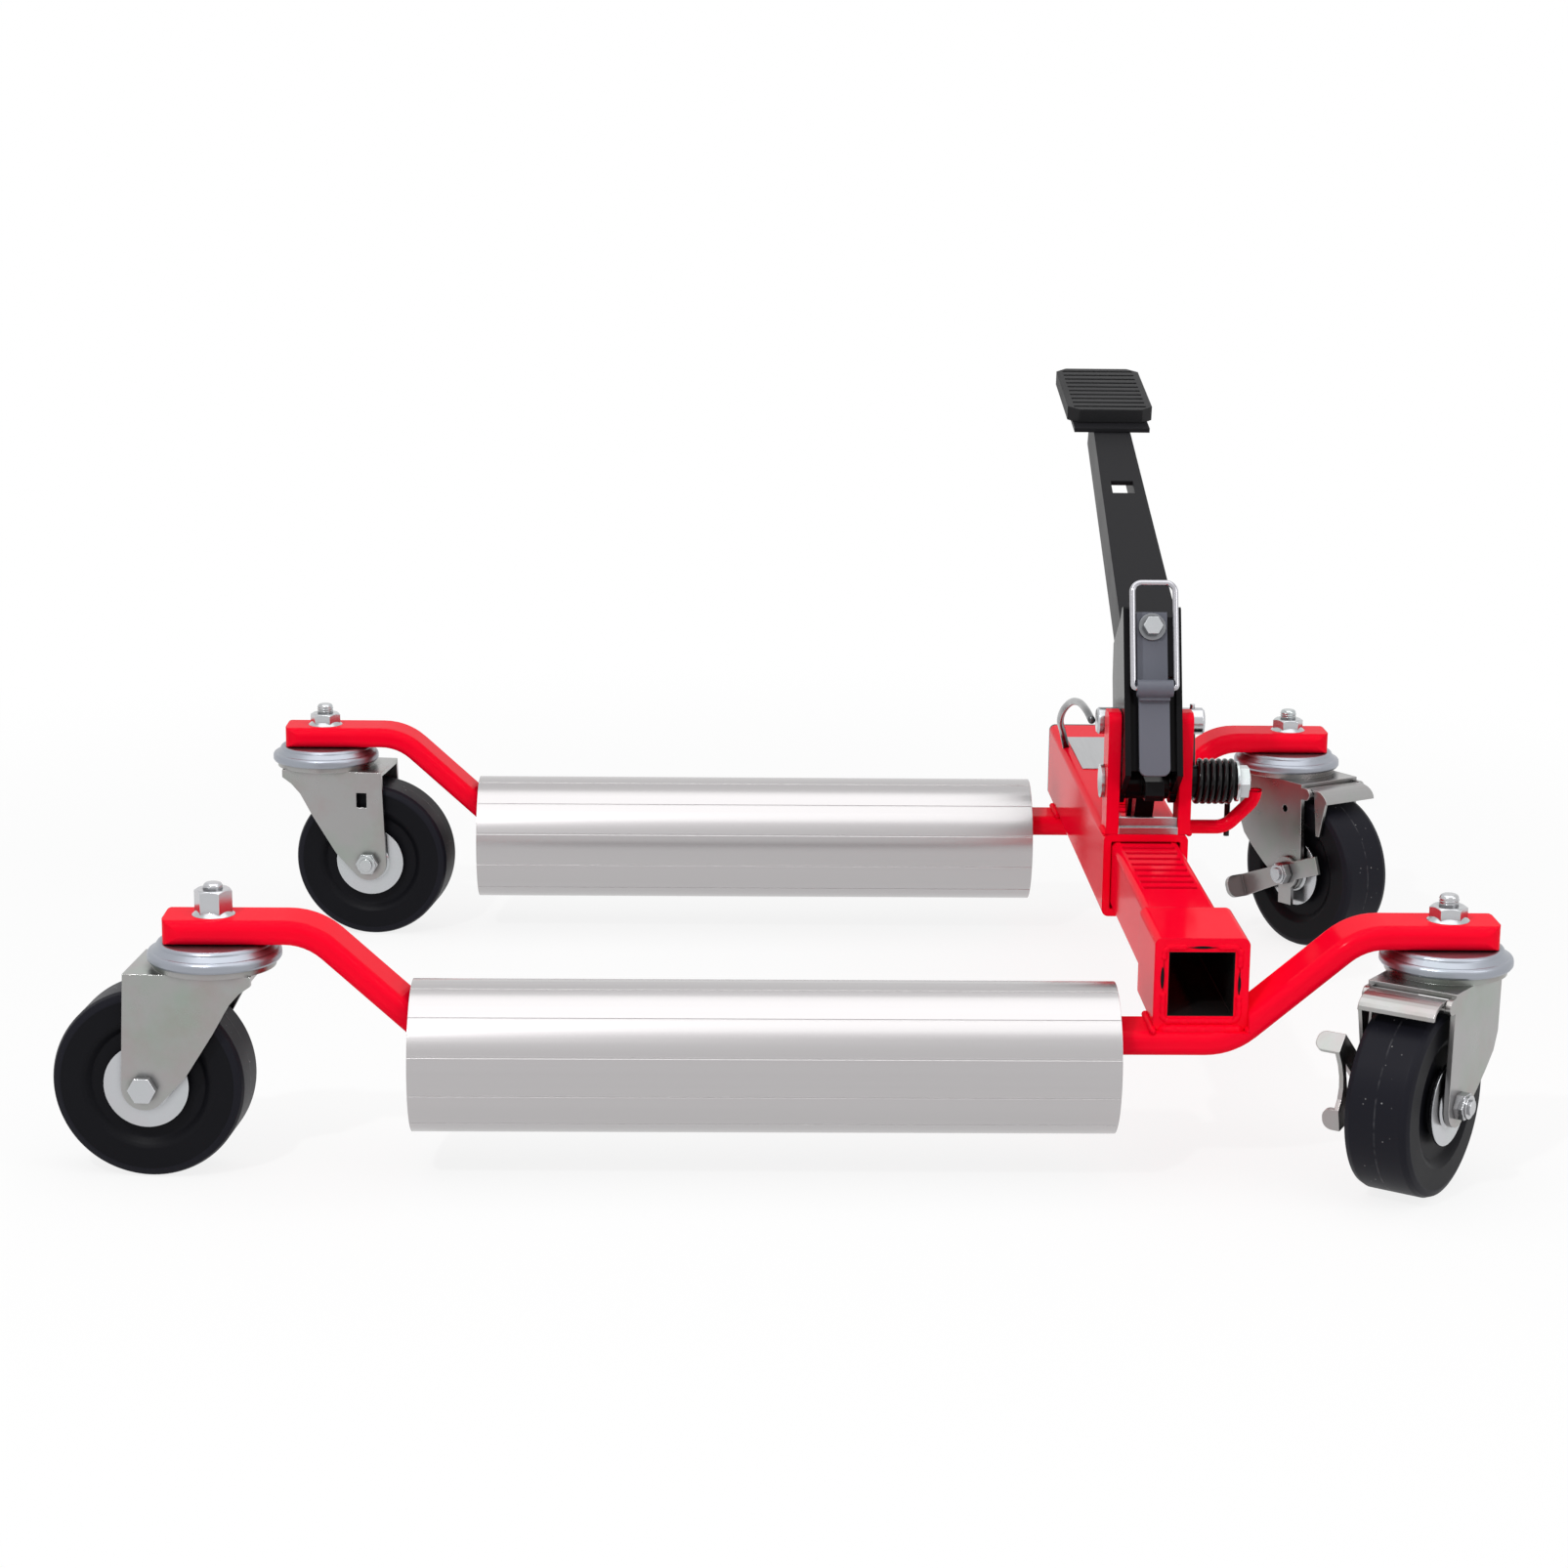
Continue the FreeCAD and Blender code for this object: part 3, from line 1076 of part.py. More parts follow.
def foot_pad():
    """Rubber pad with clipped corners and cross ribs."""
    half = PAD_SIZE[0] / 2
    long = PAD_SIZE[1]
    c = PAD_CHAMFER
    plan = [(-half + c, 0), (half - c, 0), (half, c), (half, long - c),
            (half - c, long), (-half + c, long), (-half, long - c), (-half, c)]
    low = PAD_ORIGIN - PAD_UP * PAD_SIZE[2]
    body = prism([low + X_AXIS * x + PAD_DIR * p for x, p in plan], PAD_UP * PAD_SIZE[2])
    pitch = (long - 2 * c) / PAD_RIBS
    for k in range(PAD_RIBS + 1):
        mid = c + k * pitch
        body = body.cut(pad_block(mid - PAD_RIB_GAP / 2, mid + PAD_RIB_GAP / 2, half - 4, -PAD_RIB_D, 5))
    return body


def bail_wire():
    """Wire bail hinged in the leaf's eye."""
    half = BAIL_WIDTH / 2
    s, t = LEAF_EYE
    pin = LEAF_EYE_WIDTH / 2 - 4
    points = [at(s, t, -pin), at(s, t, -half), at(s + BAIL_HEIGHT, t, -half),
              at(s + BAIL_HEIGHT, t, half), at(s, t, half), at(s, t, pin)]
    hook = BAIL_WIRE * 0.6
    left = bent_path([points[0], points[1], points[1] + S_DIR * 12], hook)
    right = bent_path([points[4] + S_DIR * 12, points[4], points[5]], hook)
    loop = bent_path([points[1] + S_DIR * 12] + points[2:4] + [points[4] + S_DIR * 12], BAIL_CORNER)
    return swept_rod(Part.Wire(left.Edges + loop.Edges + right.Edges), BAIL_WIRE)


def drive_pin():
    """Pin of the drive pawl, across the bracket."""
    return rod(DRIVE_PIN_D / 2, *pin_axis(DRIVE_PIN_Y, DRIVE_PIN_Z, BRACKET_HALF))


def pawl_blade(points, x_mid):
    """Pawl blade of the usual width through an outline in the YZ plane."""
    return prism([V(x_mid - PAWL_W / 2, y, z) for y, z in points], X_AXIS * PAWL_W)


def drive_pawl():
    """Strut pawl behind the pivot; its nose pushes the rack back on each stroke."""
    nose_y = DRIVE_PIN_Y + DRIVE_REACH
    nose_z = RACK_Z + DRIVE_HOVER
    r = DRIVE_HUB_R
    outline = [(DRIVE_PIN_Y + r, DRIVE_PIN_Z), (nose_y + 5, nose_z + 12), (nose_y + 2, nose_z),
               (nose_y - 3, nose_z), (nose_y - 7, nose_z + 6), (DRIVE_PIN_Y - r, DRIVE_PIN_Z)]
    hub = rod(r, *pin_axis(DRIVE_PIN_Y, DRIVE_PIN_Z, PAWL_HUB_W / 2))
    body = hub.fuse(pawl_blade(outline, 0))
    return body.cut(rod(DRIVE_PIN_D / 2 + RUN_FIT, *pin_axis(DRIVE_PIN_Y, DRIVE_PIN_Z, EAR_GAP)))


def hold_pawl():
    """Rocker on the pivot bolt: nose behind for holding, tail in front for release."""
    nose_z = RACK_Z + HOLD_HOVER
    r = HOLD_HUB_R
    nose = [(PIVOT_Y - 4, PIVOT_Z - r + 3), (PIVOT_Y + 12, nose_z), (PIVOT_Y + 17, nose_z),
            (PIVOT_Y + 19, nose_z + 8), (PIVOT_Y + r, PIVOT_Z)]
    tail = [(PIVOT_Y, PIVOT_Z + 7), (PIVOT_Y - 26, PIVOT_Z + 5), (PIVOT_Y - 28, PIVOT_Z - 3),
            (PIVOT_Y - 24, PIVOT_Z - 7), (PIVOT_Y, PIVOT_Z - 8)]
    hub = rod(r, *pin_axis(PIVOT_Y, PIVOT_Z, PAWL_HUB_W / 2))
    body = hub.fuse(pawl_blade(nose, 0)).fuse(pawl_blade(tail, 2))
    return body.cut(rod(PIVOT_D / 2 + RUN_FIT, *pin_axis(PIVOT_Y, PIVOT_Z, EAR_GAP)))


def keeper_wire():
    """Stiff keeper wire from beside the cross pin's end back down to the housing top."""
    wire = swept_rod(bent_path([V(*p) for p in KEEPER_ROUTE]), KEEPER_D)
    end = V(*KEEPER_ROUTE[-1])
    span = 2 * KEEPER_D
    return wire.cut(box(end.x - span, end.x + span, end.y - span, end.y + span, BEAM_Z, BEAM_TOP_Z))


# Assembly: node name, shape and the body it belongs to

CORNERS = {
    "fl": (STEM_LEFT_X, 0.0, 175.0),
    "rl": (STEM_LEFT_X, BAR_SPACING, -7.5),
    "fr": (STEM_RIGHT_X, 0.0, 235.0),
    "rr": (STEM_RIGHT_X, BAR_SPACING, -58.0),
}
HEAD_SIDE = {"fl": 1, "rl": 1, "fr": -1, "rr": 1}
LEVERS = {
    "fr": (((41.8, 51.0, 12.0, 11.0), (-12.0, 39.0, 7.0, 12.0)), ((200.0, 24.0), (272.0, 21.0))),
    "rr": (((203.0, 46.0, 14.0, 15.0),), ((20.0, 32.0), (272.0, 21.0))),
}
FRAME_END = {"front": 0.0, "rear": BAR_SPACING}


def build():
    """All nodes as shapes in the making frame."""
    nodes = {}
    nodes["front_cross_bar"] = cross_bar(0.0)
    nodes["rear_cross_bar"] = cross_bar(BAR_SPACING)
    nodes["front_sleeve"] = front_sleeve()
    nodes["inner_tube"] = inner_tube()
    nodes["housing_tube"] = housing_tube()
    nodes["housing_end_cap"] = housing_end_cap()
    nodes["blank_plate"] = blank_plate()
    for end, y in FRAME_END.items():
        nodes["roller_" + end] = roller_tube(y)
        nodes["roller_bushes_" + end] = roller_bushes(y)
    for end, names in (("front", ("fl", "fr")), ("rear", ("rl", "rr"))):
        for label, make in (("stem_bolts_", stem_bolt), ("stem_nuts_", stem_nut),
                            ("upper_races_", lambda corner: upper_race()),
                            ("swivel_balls_", lambda corner: swivel_balls())):
            made = [place(make(name), *CORNERS[name]) for name in names]
            nodes[label + end] = Part.makeCompound(made)
    for name, corner in CORNERS.items():
        braked = name in LEVERS
        body = fork(braked)
        if braked:
            body = body.fuse(shoe_lugs()).removeSplitter()
            nodes["brake_lever_" + name] = place(brake_lever(*LEVERS[name]), *corner)
            nodes["brake_shoe_" + name] = place(brake_shoe(), *corner)
        nodes["caster_fork_" + name] = place(body, *corner)
        nodes["caster_wheel_" + name] = place(wheel(), *corner)
        nodes["caster_axle_" + name] = place(axle_set(HEAD_SIDE[name], braked), *corner)
    nodes["ear_left"] = ear(-1)
    nodes["ear_right"] = ear(1)
    nodes["pivot_bolt"] = pivot_bolt()
    nodes["pivot_nut"] = pivot_nut()
    nodes["pivot_washer"] = pivot_washer()
    nodes["spring_bush"] = spring_bush()
    nodes["return_spring"] = swept_rod(SPRING_PATH, SPRING_WIRE)
    nodes["anchor_bar"] = anchor_bar()
    nodes["wear_strip"] = wear_strip()
    nodes["keeper_wire"] = keeper_wire()
    nodes["hold_pawl"] = hold_pawl()
    nodes["pedal_bracket"] = pedal_bracket()
    nodes["cross_pin"] = cross_pin()
    nodes["roll_pin"] = roll_pin()
    nodes["leaf_strip"] = leaf_strip()
    nodes["pedal_bolt"] = pedal_bolt()
    nodes["pedal_washer"] = pedal_washer()
    nodes["pedal_arm"] = pedal_arm()
    nodes["pad_plate"] = pad_plate()
    nodes["foot_pad"] = foot_pad()
    nodes["bail_wire"] = bail_wire()
    nodes["drive_pin"] = drive_pin()
    nodes["drive_pawl"] = drive_pawl()
    return nodes


# Pieces of the ears, the pedal and the pawls, which stand off the beam's middle together
OFF_MIDDLE = ("ear_left", "ear_right", "pivot_bolt", "pivot_nut", "pivot_washer", "spring_bush",
              "return_spring", "anchor_bar", "wear_strip", "hold_pawl", "pedal_bracket", "cross_pin",
              "roll_pin", "leaf_strip", "pedal_bolt", "pedal_washer", "pedal_arm", "pad_plate",
              "foot_pad", "bail_wire", "drive_pin", "drive_pawl")
SPRING_PATH = spring_path()
NODES = build()
for name in OFF_MIDDLE:
    NODES[name].translate(X_AXIS * EAR_SHIFT)
WHOLE = FreeCAD.BoundBox()
for shape in NODES.values():
    WHOLE.add(shape.optimalBoundingBox(False, False))
SHIFT = V(-WHOLE.Center.x, -WHOLE.Center.y, -WHOLE.ZMin)

os.makedirs("parts", exist_ok=True)
for name, shape in NODES.items():
    shape.translate(SHIFT)
    shape.exportStep("parts/" + name + ".step")

print("nodes:", len(NODES))
print("size: %.1f x %.1f x %.1f" % (WHOLE.XLength, WHOLE.YLength, WHOLE.ZLength))
print("return spring, least gap to itself: %.2f mm" % spring_self_gap(SPRING_PATH))
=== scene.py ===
import math

import bpy
import numpy as np
from mathutils import Matrix, Vector


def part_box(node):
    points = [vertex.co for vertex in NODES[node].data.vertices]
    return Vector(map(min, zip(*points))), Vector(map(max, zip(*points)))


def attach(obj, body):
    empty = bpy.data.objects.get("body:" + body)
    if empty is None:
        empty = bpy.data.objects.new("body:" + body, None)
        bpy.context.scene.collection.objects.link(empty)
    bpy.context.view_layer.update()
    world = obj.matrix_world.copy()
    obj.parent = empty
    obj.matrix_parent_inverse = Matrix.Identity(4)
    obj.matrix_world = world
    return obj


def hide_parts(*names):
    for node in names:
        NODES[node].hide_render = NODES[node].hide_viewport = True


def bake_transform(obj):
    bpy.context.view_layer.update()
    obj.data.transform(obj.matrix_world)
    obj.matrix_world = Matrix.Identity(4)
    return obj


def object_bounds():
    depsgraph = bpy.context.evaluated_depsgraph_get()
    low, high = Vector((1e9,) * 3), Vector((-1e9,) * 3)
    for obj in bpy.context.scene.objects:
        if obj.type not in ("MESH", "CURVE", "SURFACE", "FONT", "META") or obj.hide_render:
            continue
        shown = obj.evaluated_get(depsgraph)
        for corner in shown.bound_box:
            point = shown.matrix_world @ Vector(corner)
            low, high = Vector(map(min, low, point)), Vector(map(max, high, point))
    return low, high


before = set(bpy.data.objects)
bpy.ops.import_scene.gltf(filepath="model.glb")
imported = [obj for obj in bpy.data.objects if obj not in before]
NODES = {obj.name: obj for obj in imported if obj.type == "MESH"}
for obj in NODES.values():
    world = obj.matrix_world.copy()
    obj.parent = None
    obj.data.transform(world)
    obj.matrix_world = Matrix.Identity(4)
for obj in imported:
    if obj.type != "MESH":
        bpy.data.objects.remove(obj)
CAD_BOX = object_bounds()

# The drawing frame, in millimetres: x from the beam's middle, y from the front bar, z from its own zero
MM = 0.001
ROLLER_MIDDLE = Vector((-228.3, 0.0, 61.8))
roller_low, roller_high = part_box("roller_front")
DRAWING_AT = (roller_low + roller_high) / 2 - ROLLER_MIDDLE * MM

# Sizes of the drawing that the added pieces share, in millimetres
BAR_SPACING = 498.4
BAR_HALF_DEPTH = 18.0
SLEEVE_FRONT_Y = -12.0
EAR_SHIFT = 1.0
BEAM_HALF = 25.0
BEAM_LOW_Z = 80.4
BEAM_TOP_Z = 130.4
HOUSING_FRONT_Y = 222.0
EAR_BACK_Y = 244.0
EAR_INNER_X = 17.5
PIVOT = (240.0, 159.0)
SPRING_WIRE = 3.45
SPRING_R = 12.0
SPRING_TURNS = 6
SPRING_X = (EAR_SHIFT + 29.7, EAR_SHIFT + 51.2)
SPRING_LEGS = (40.0, 36.0)
CROSS_PIN = (252.3, 193.0)
CROSS_PIN_R = 8.0
SPRING_AIR = 0.42
STEMS = {"fl": (-516.0, 0.0, 175.0), "rl": (-516.0, BAR_SPACING, -7.5),
         "fr": (130.5, 0.0, 235.0), "rr": (130.5, BAR_SPACING, -58.0)}
WHEEL_TRAIL = 33.5
AXLE_Z = 49.5
STEM_R = 5.0
THREAD_START = 0.2
THREAD_SHORT = 2.0
THREAD_PITCH = 1.5
THREAD_DEPTH = 0.5
STEM_THREADS = {"fl": (151.7, 3.3), "fr": (145.8, 6.2), "rl": (145.8, 6.2), "rr": (145.8, 6.2)}
KEEPER_D = 4.5
KEEPER_ROUTE = np.array([
    (-30.8, 252.3, 193.0),
    (-31.8, 275.0, 195.0),
    (-32.0, 310.0, 192.5),
    (-32.5, 350.0, 185.0),
    (-33.5, 385.0, 173.0),
    (-31.0, 425.0, 158.0),
    (-25.5, 460.0, 144.0),
    (-21.4, 474.0, 130.0),
])


def spot(x, y, z):
    """Point of the drawing, in millimetres, as a point of the model, in metres."""
    return Vector((x, y, z)) * MM + DRAWING_AT


def spots(points):
    """The same for an array of points."""
    return np.asarray(points, float) * MM + np.array(DRAWING_AT)


# Camera, floor and light
CAMERA_AT = (-255.14, -1659.03, 576.38)
FLOOR_GAP = 0.0002


def photo_camera():
    """Camera at the photograph's place: tilt down, turn and roll, long lens on a square picture."""
    tilt = 0.2179
    turn = 0.0216
    roll = 0.0103
    focal_pixels = 3355.0
    picture = 1605.0
    ahead = Vector((math.sin(turn) * math.cos(tilt), math.cos(turn) * math.cos(tilt), -math.sin(tilt)))
    right = Vector((math.cos(turn), -math.sin(turn), 0))
    up = right.cross(ahead)
    across = right * math.cos(roll) + up * math.sin(roll)
    upward = up * math.cos(roll) - right * math.sin(roll)
    lens = bpy.data.cameras.new("photo_camera")
    lens.sensor_width = 36.0
    lens.lens = focal_pixels / picture * lens.sensor_width
    lens.clip_start = 0.05
    lens.clip_end = 60.0
    camera = bpy.data.objects.new("photo_camera", lens)
    bpy.context.scene.collection.objects.link(camera)
    place = Matrix((across, upward, -ahead)).transposed().to_4x4()
    place.translation = spot(*CAMERA_AT)
    camera.matrix_world = place
    bpy.context.scene.camera = camera


def add(tree, kind, inputs=None, **settings):
    """New shader node with its settings; inputs are sockets to link or plain values."""
    node = tree.nodes.new(kind)
    for key, value in settings.items():
        setattr(node, key, value)
    for key, value in (inputs or {}).items():
        if isinstance(value, bpy.types.NodeSocket):
            tree.links.new(value, node.inputs[key])
        else:
            node.inputs[key].default_value = value
    return node


def math_node(tree, operation, *values):
    """One arithmetic node."""
    return add(tree, "ShaderNodeMath", dict(enumerate(values)), operation=operation).outputs[0]


def mask(tree, value, none_at, full_at):
    """Mask from a value: 0 at one level of it, 1 at another, even between them."""
    levels = {"Value": value, "From Min": none_at, "From Max": full_at}
    return add(tree, "ShaderNodeMapRange", levels).outputs[0]


def seen_directly(tree):
    """1 on camera, mirror and glass rays, else 0: those rays see the white surroundings."""
    path = add(tree, "ShaderNodeLightPath")
    some = math_node(tree, "MAXIMUM", path.outputs["Is Camera Ray"], path.outputs["Is Glossy Ray"])
    return math_node(tree, "MAXIMUM", some, path.outputs["Is Transmission Ray"])


def white_room(ambient):
    """World: white where it is seen, and an even ambient light elsewhere."""
    world = bpy.data.worlds.new("white_room")
    bpy.context.scene.world = world
    world.use_nodes = True
    tree = world.node_tree
    tree.nodes.clear()
    seen = seen_directly(tree)
    level = add(tree, "ShaderNodeMapRange", {"Value": seen, "To Min": ambient, "To Max": 1.0})
    sky = add(tree, "ShaderNodeBackground", {"Color": (1, 1, 1, 1), "Strength": level.outputs[0]})
    add(tree, "ShaderNodeOutputWorld", {"Surface": sky.outputs[0]})


def pale_floor(half, glow):
    """Floor: pale diffuse surface; where it is seen, mostly even white with the object's shadow in it."""
    side = np.linspace(-half, half, 2)
    x, y = np.meshgrid(side, side, indexing="ij")
    floor = grid_piece("floor", np.stack([x, y, np.full_like(x, -FLOOR_GAP)], axis=-1))
    paint = bpy.data.materials.new("pale_floor")
    paint.use_nodes = True
    tree = paint.node_tree
    tree.nodes.clear()
    seen = seen_directly(tree)
    where = add(tree, "ShaderNodeTexCoord")
    far = add(tree, "ShaderNodeVectorMath", {0: where.outputs["Object"]}, operation="LENGTH")
    even = add(tree, "ShaderNodeMapRange", {"Value": far.outputs["Value"], "From Min": 0.45, "From Max": 1.3,
                                            "To Min": glow, "To Max": 1.0}, interpolation_type="SMOOTHSTEP")
    share = math_node(tree, "MULTIPLY", seen, even.outputs[0])
    pale = add(tree, "ShaderNodeBsdfDiffuse", {"Color": (0.9, 0.9, 0.9, 1)})
    white = add(tree, "ShaderNodeEmission", {"Color": (1, 1, 1, 1), "Strength": 1.0})
    mixed = add(tree, "ShaderNodeMixShader", {0: share, 1: pale.outputs[0], 2: white.outputs[0]})
    add(tree, "ShaderNodeOutputMaterial", {"Surface": mixed.outputs[0]})
    floor.data.materials.append(paint)


def soft_lamp(name, place, target, size, power):
    """Square soft box that looks at a target."""
    data = bpy.data.lights.new(name, "AREA")
    data.shape = "SQUARE"
    data.size = size
    data.energy = power
    lamp = bpy.data.objects.new(name, data)
    bpy.context.scene.collection.objects.link(lamp)
    lamp.location = place
    lamp.rotation_mode = "QUATERNION"
    lamp.rotation_quaternion = (Vector(target) - Vector(place)).to_track_quat("-Z", "Y")


# Meshes from whole arrays of points

def grid_piece(name, points):
    """Open surface through an (n, m, 3) array: a quad between neighbours."""
    n, m = points.shape[:2]
    index = np.arange(n * m).reshape(n, m)
    quads = np.stack([index[:-1, :-1], index[1:, :-1], index[1:, 1:], index[:-1, 1:]], axis=-1)
    return mesh_piece(name, points.reshape(-1, 3), quads.reshape(-1, 4))


def mesh_piece(name, points, quads, rings=()):
    """Mesh object at the origin from points, four-sided faces and closing polygons."""
    mesh = bpy.data.meshes.new(name)
    mesh.from_pydata(points.tolist(), [], quads.tolist() + [list(r) for r in rings])
    mesh.validate()
    mesh.shade_smooth()
    piece = bpy.data.objects.new(name, mesh)
    bpy.context.scene.collection.objects.link(piece)
    return piece


def tube_points(path, radius, sides, reference):
    """Rings round a path: p(t, a) = path(t) + r(t) (cos a * side(t) + sin a * up(t)).

    side is square to the path and to a fixed reference direction, up is square to both.
    """
    along = np.gradient(path, axis=0)
    along /= np.linalg.norm(along, axis=1, keepdims=True)
    side = np.cross(along, reference)
    side /= np.linalg.norm(side, axis=1, keepdims=True)
    up = np.cross(side, along)
    a = np.linspace(0, 2 * np.pi, sides, endpoint=False)
    ring = np.cos(a)[None, :, None] * side[:, None, :] + np.sin(a)[None, :, None] * up[:, None, :]
    return path[:, None, :] + np.broadcast_to(radius, len(path))[:, None, None] * ring


def closed_rings(name, points):
    """Closed skin over an (n, m, 3) array of n rings: quads between rings, a polygon at each end."""
    n, m = points.shape[:2]
    index = np.arange(n * m).reshape(n, m)
    wrapped = np.concatenate([index, index[:, :1]], axis=1)
    quads = np.stack([wrapped[:-1, :-1], wrapped[:-1, 1:], wrapped[1:, 1:], wrapped[1:, :-1]], axis=-1)
    return mesh_piece(name, points.reshape(-1, 3), quads.reshape(-1, 4), (index[0][::-1], index[-1]))


def tube_piece(name, path, radius, sides, reference):
    """Closed tube along a path, with flat ends."""
    return closed_rings(name, tube_points(path, radius, sides, reference))


def smooth_route(points, steps):
    """Curve through the points: cubic pieces; the slope at a point is half the way between its neighbours."""
    p = np.concatenate([2 * points[:1] - points[1:2], points, 2 * points[-1:] - points[-2:-1]])
    t = np.linspace(0, 1, steps, endpoint=False)[None, :, None]
    a, b, c, d = (p[k:len(p) - 3 + k][:, None, :] for k in range(4))
    curve = 0.5 * (2 * b + (c - a) * t + (2 * a - 5 * b + 4 * c - d) * t ** 2
                   + (3 * b - a - 3 * c + d) * t ** 3)
    return np.concatenate([curve.reshape(-1, 3), points[-1:]])


# Shared effects, each built once as a node group

def effect(name, inputs, outputs):
    """Empty node group with named sockets; gives the tree and its two ends."""
    tree = bpy.data.node_groups.new(name, "ShaderNodeTree")
    for label, kind, value in inputs:
        tree.interface.new_socket(label, in_out="INPUT", socket_type=kind).default_value = value
    for label, kind in outputs:
        tree.interface.new_socket(label, in_out="OUTPUT", socket_type=kind)
    return tree, tree.nodes.new("NodeGroupInput"), tree.nodes.new("NodeGroupOutput")


def soft_edges():
    """Rounded normal along sharp edges, and a mask of those edges: one minus the two normals' product."""
    tree, start, end = effect("soft_edges", [("Radius", "NodeSocketFloat", 0.001)],
                              [("Normal", "NodeSocketVector"), ("Edge", "NodeSocketFloat")])
    round_over = add(tree, "ShaderNodeBevel", {"Radius": start.outputs["Radius"]}, samples=6)
    flat = add(tree, "ShaderNodeNewGeometry")
    same = add(tree, "ShaderNodeVectorMath", {0: round_over.outputs[0], 1: flat.outputs["Normal"]},
               operation="DOT_PRODUCT")
    tree.links.new(round_over.outputs[0], end.inputs["Normal"])
    tree.links.new(mask(tree, same.outputs["Value"], 0.995, 0.8), end.inputs["Edge"])
    return tree


def grain():
    """Fine even grain and broad patches, both from 0 to 1, on the piece's own coordinates."""
    tree, start, end = effect("grain", [("Fine", "NodeSocketFloat", 900.0),
                                        ("Broad", "NodeSocketFloat", 25.0),
                                        ("Stretch", "NodeSocketVector", (1.0, 1.0, 1.0))],
                              [("Fine", "NodeSocketFloat"), ("Broad", "NodeSocketFloat")])
    where = add(tree, "ShaderNodeTexCoord")
    pulled = add(tree, "ShaderNodeVectorMath", {0: where.outputs["Object"], 1: start.outputs["Stretch"]},
                 operation="MULTIPLY")
    fine = add(tree, "ShaderNodeTexNoise", {"Vector": pulled.outputs[0], "Scale": start.outputs["Fine"],
                                            "Detail": 3.0, "Roughness": 0.55})
    broad = add(tree, "ShaderNodeTexNoise", {"Vector": pulled.outputs[0], "Scale": start.outputs["Broad"],
                                             "Detail": 4.0, "Roughness": 0.6})
    tree.links.new(fine.outputs["Fac"], end.inputs["Fine"])
    tree.links.new(broad.outputs["Fac"], end.inputs["Broad"])
    return tree


def plating_tint():
    """Zinc colour with faint green and pink patches: two noises push the base to either side."""
    tree, start, end = effect("plating_tint", [("Base", "NodeSocketColor", (0.6, 0.6, 0.58, 1.0)),
                                               ("Tint", "NodeSocketFloat", 0.5)],
                              [("Color", "NodeSocketColor")])
    where = add(tree, "ShaderNodeTexCoord")
    last = start.outputs["Base"]
    for scale, offset, tone in ((21.0, 0.0, (0.82, 1.0, 0.86, 1.0)), (26.0, 3.7, (1.0, 0.83, 0.84, 1.0))):
        moved = add(tree, "ShaderNodeVectorMath", {0: where.outputs["Object"], 1: (offset, offset, offset)},
                    operation="ADD")
        cloud = add(tree, "ShaderNodeTexNoise", {"Vector": moved.outputs[0], "Scale": scale, "Detail": 5.0,
                                                 "Roughness": 0.62})
        patches = mask(tree, cloud.outputs["Fac"], 0.48, 0.7)
        amount = math_node(tree, "MULTIPLY", patches, start.outputs["Tint"])
        mix = add(tree, "ShaderNodeMix", {0: amount, 6: last, 7: tone}, data_type="RGBA",
                  blend_type="MULTIPLY")
        last = mix.outputs[2]
    tree.links.new(last, end.inputs["Color"])
    return tree


def crevice_shade():
    """Mask of closed-in places, from 0 in the open to 1 in a tight corner, where painted shade darkens the
    colour.
    """
    tree, start, end = effect("crevice_shade", [("Reach", "NodeSocketFloat", 0.006)],
                              [("Dark", "NodeSocketFloat")])
    open_share = add(tree, "ShaderNodeAmbientOcclusion", {"Distance": start.outputs["Reach"]}, samples=6)
    tree.links.new(mask(tree, open_share.outputs["AO"], 0.85, 0.35), end.inputs["Dark"])
    return tree


# Depths and reaches of the finishes, in metres, and the gloss of the clear layer
ORANGE_PEEL = 0.00002
MOULD_RELIEF = 0.00015
CREVICE_REACH = 0.006
TREAD_FROM = 0.046
TUBE_INSIDE = 0.0174
CLEAR_ROUGH = 0.1

SOFT_EDGES = soft_edges()
CREVICE_SHADE = crevice_shade()
GRAIN = grain()
PLATING_TINT = plating_tint()


def use(tree, effect_tree, inputs):
    """One placed copy of an effect."""
    return add(tree, "ShaderNodeGroup", inputs, node_tree=effect_tree)


def finish_base(name):
    """New material with a Principled shader on its output; gives material, tree and shader."""
    finish = bpy.data.materials.new(name)
    finish.use_nodes = True
    tree = finish.node_tree
    tree.nodes.clear()
    shader = add(tree, "ShaderNodeBsdfPrincipled")
    add(tree, "ShaderNodeOutputMaterial", {"Surface": shader.outputs[0]})
    return finish, tree, shader


def ranged(tree, value, low, high):
    """Value from 0 to 1 spread over a range."""
    return add(tree, "ShaderNodeMapRange", {"Value": value, "To Min": low, "To Max": high}).outputs[0]


def glossy(tree, shader, patches, rough, spread):
    """Roughness that follows patches, from 0 to 1, round its middle value."""
    tree.links.new(ranged(tree, patches, rough - spread, rough + spread), shader.inputs["Roughness"])


def blended(tree, amount, first, second):
    """Colour between two colours."""
    return add(tree, "ShaderNodeMix", {0: amount, 6: first, 7: second}, data_type="RGBA").outputs[2]


def bumped(tree, height, distance, normal):
    """Normal of a fine relief of the given depth in metres."""
    inputs = {"Height": height, "Distance": distance, "Strength": 1.0, "Normal": normal}
    return add(tree, "ShaderNodeBump", inputs).outputs[0]


def embossed(tree, shader, height, depth, edges):
    """Fine relief over the rounded edges."""
    tree.links.new(bumped(tree, height, depth, edges.outputs["Normal"]), shader.inputs["Normal"])


def scaled(colour, factor):
    """Colour made brighter or darker."""
    return tuple(min(1.0, c * factor) for c in colour[:3]) + (1.0,)


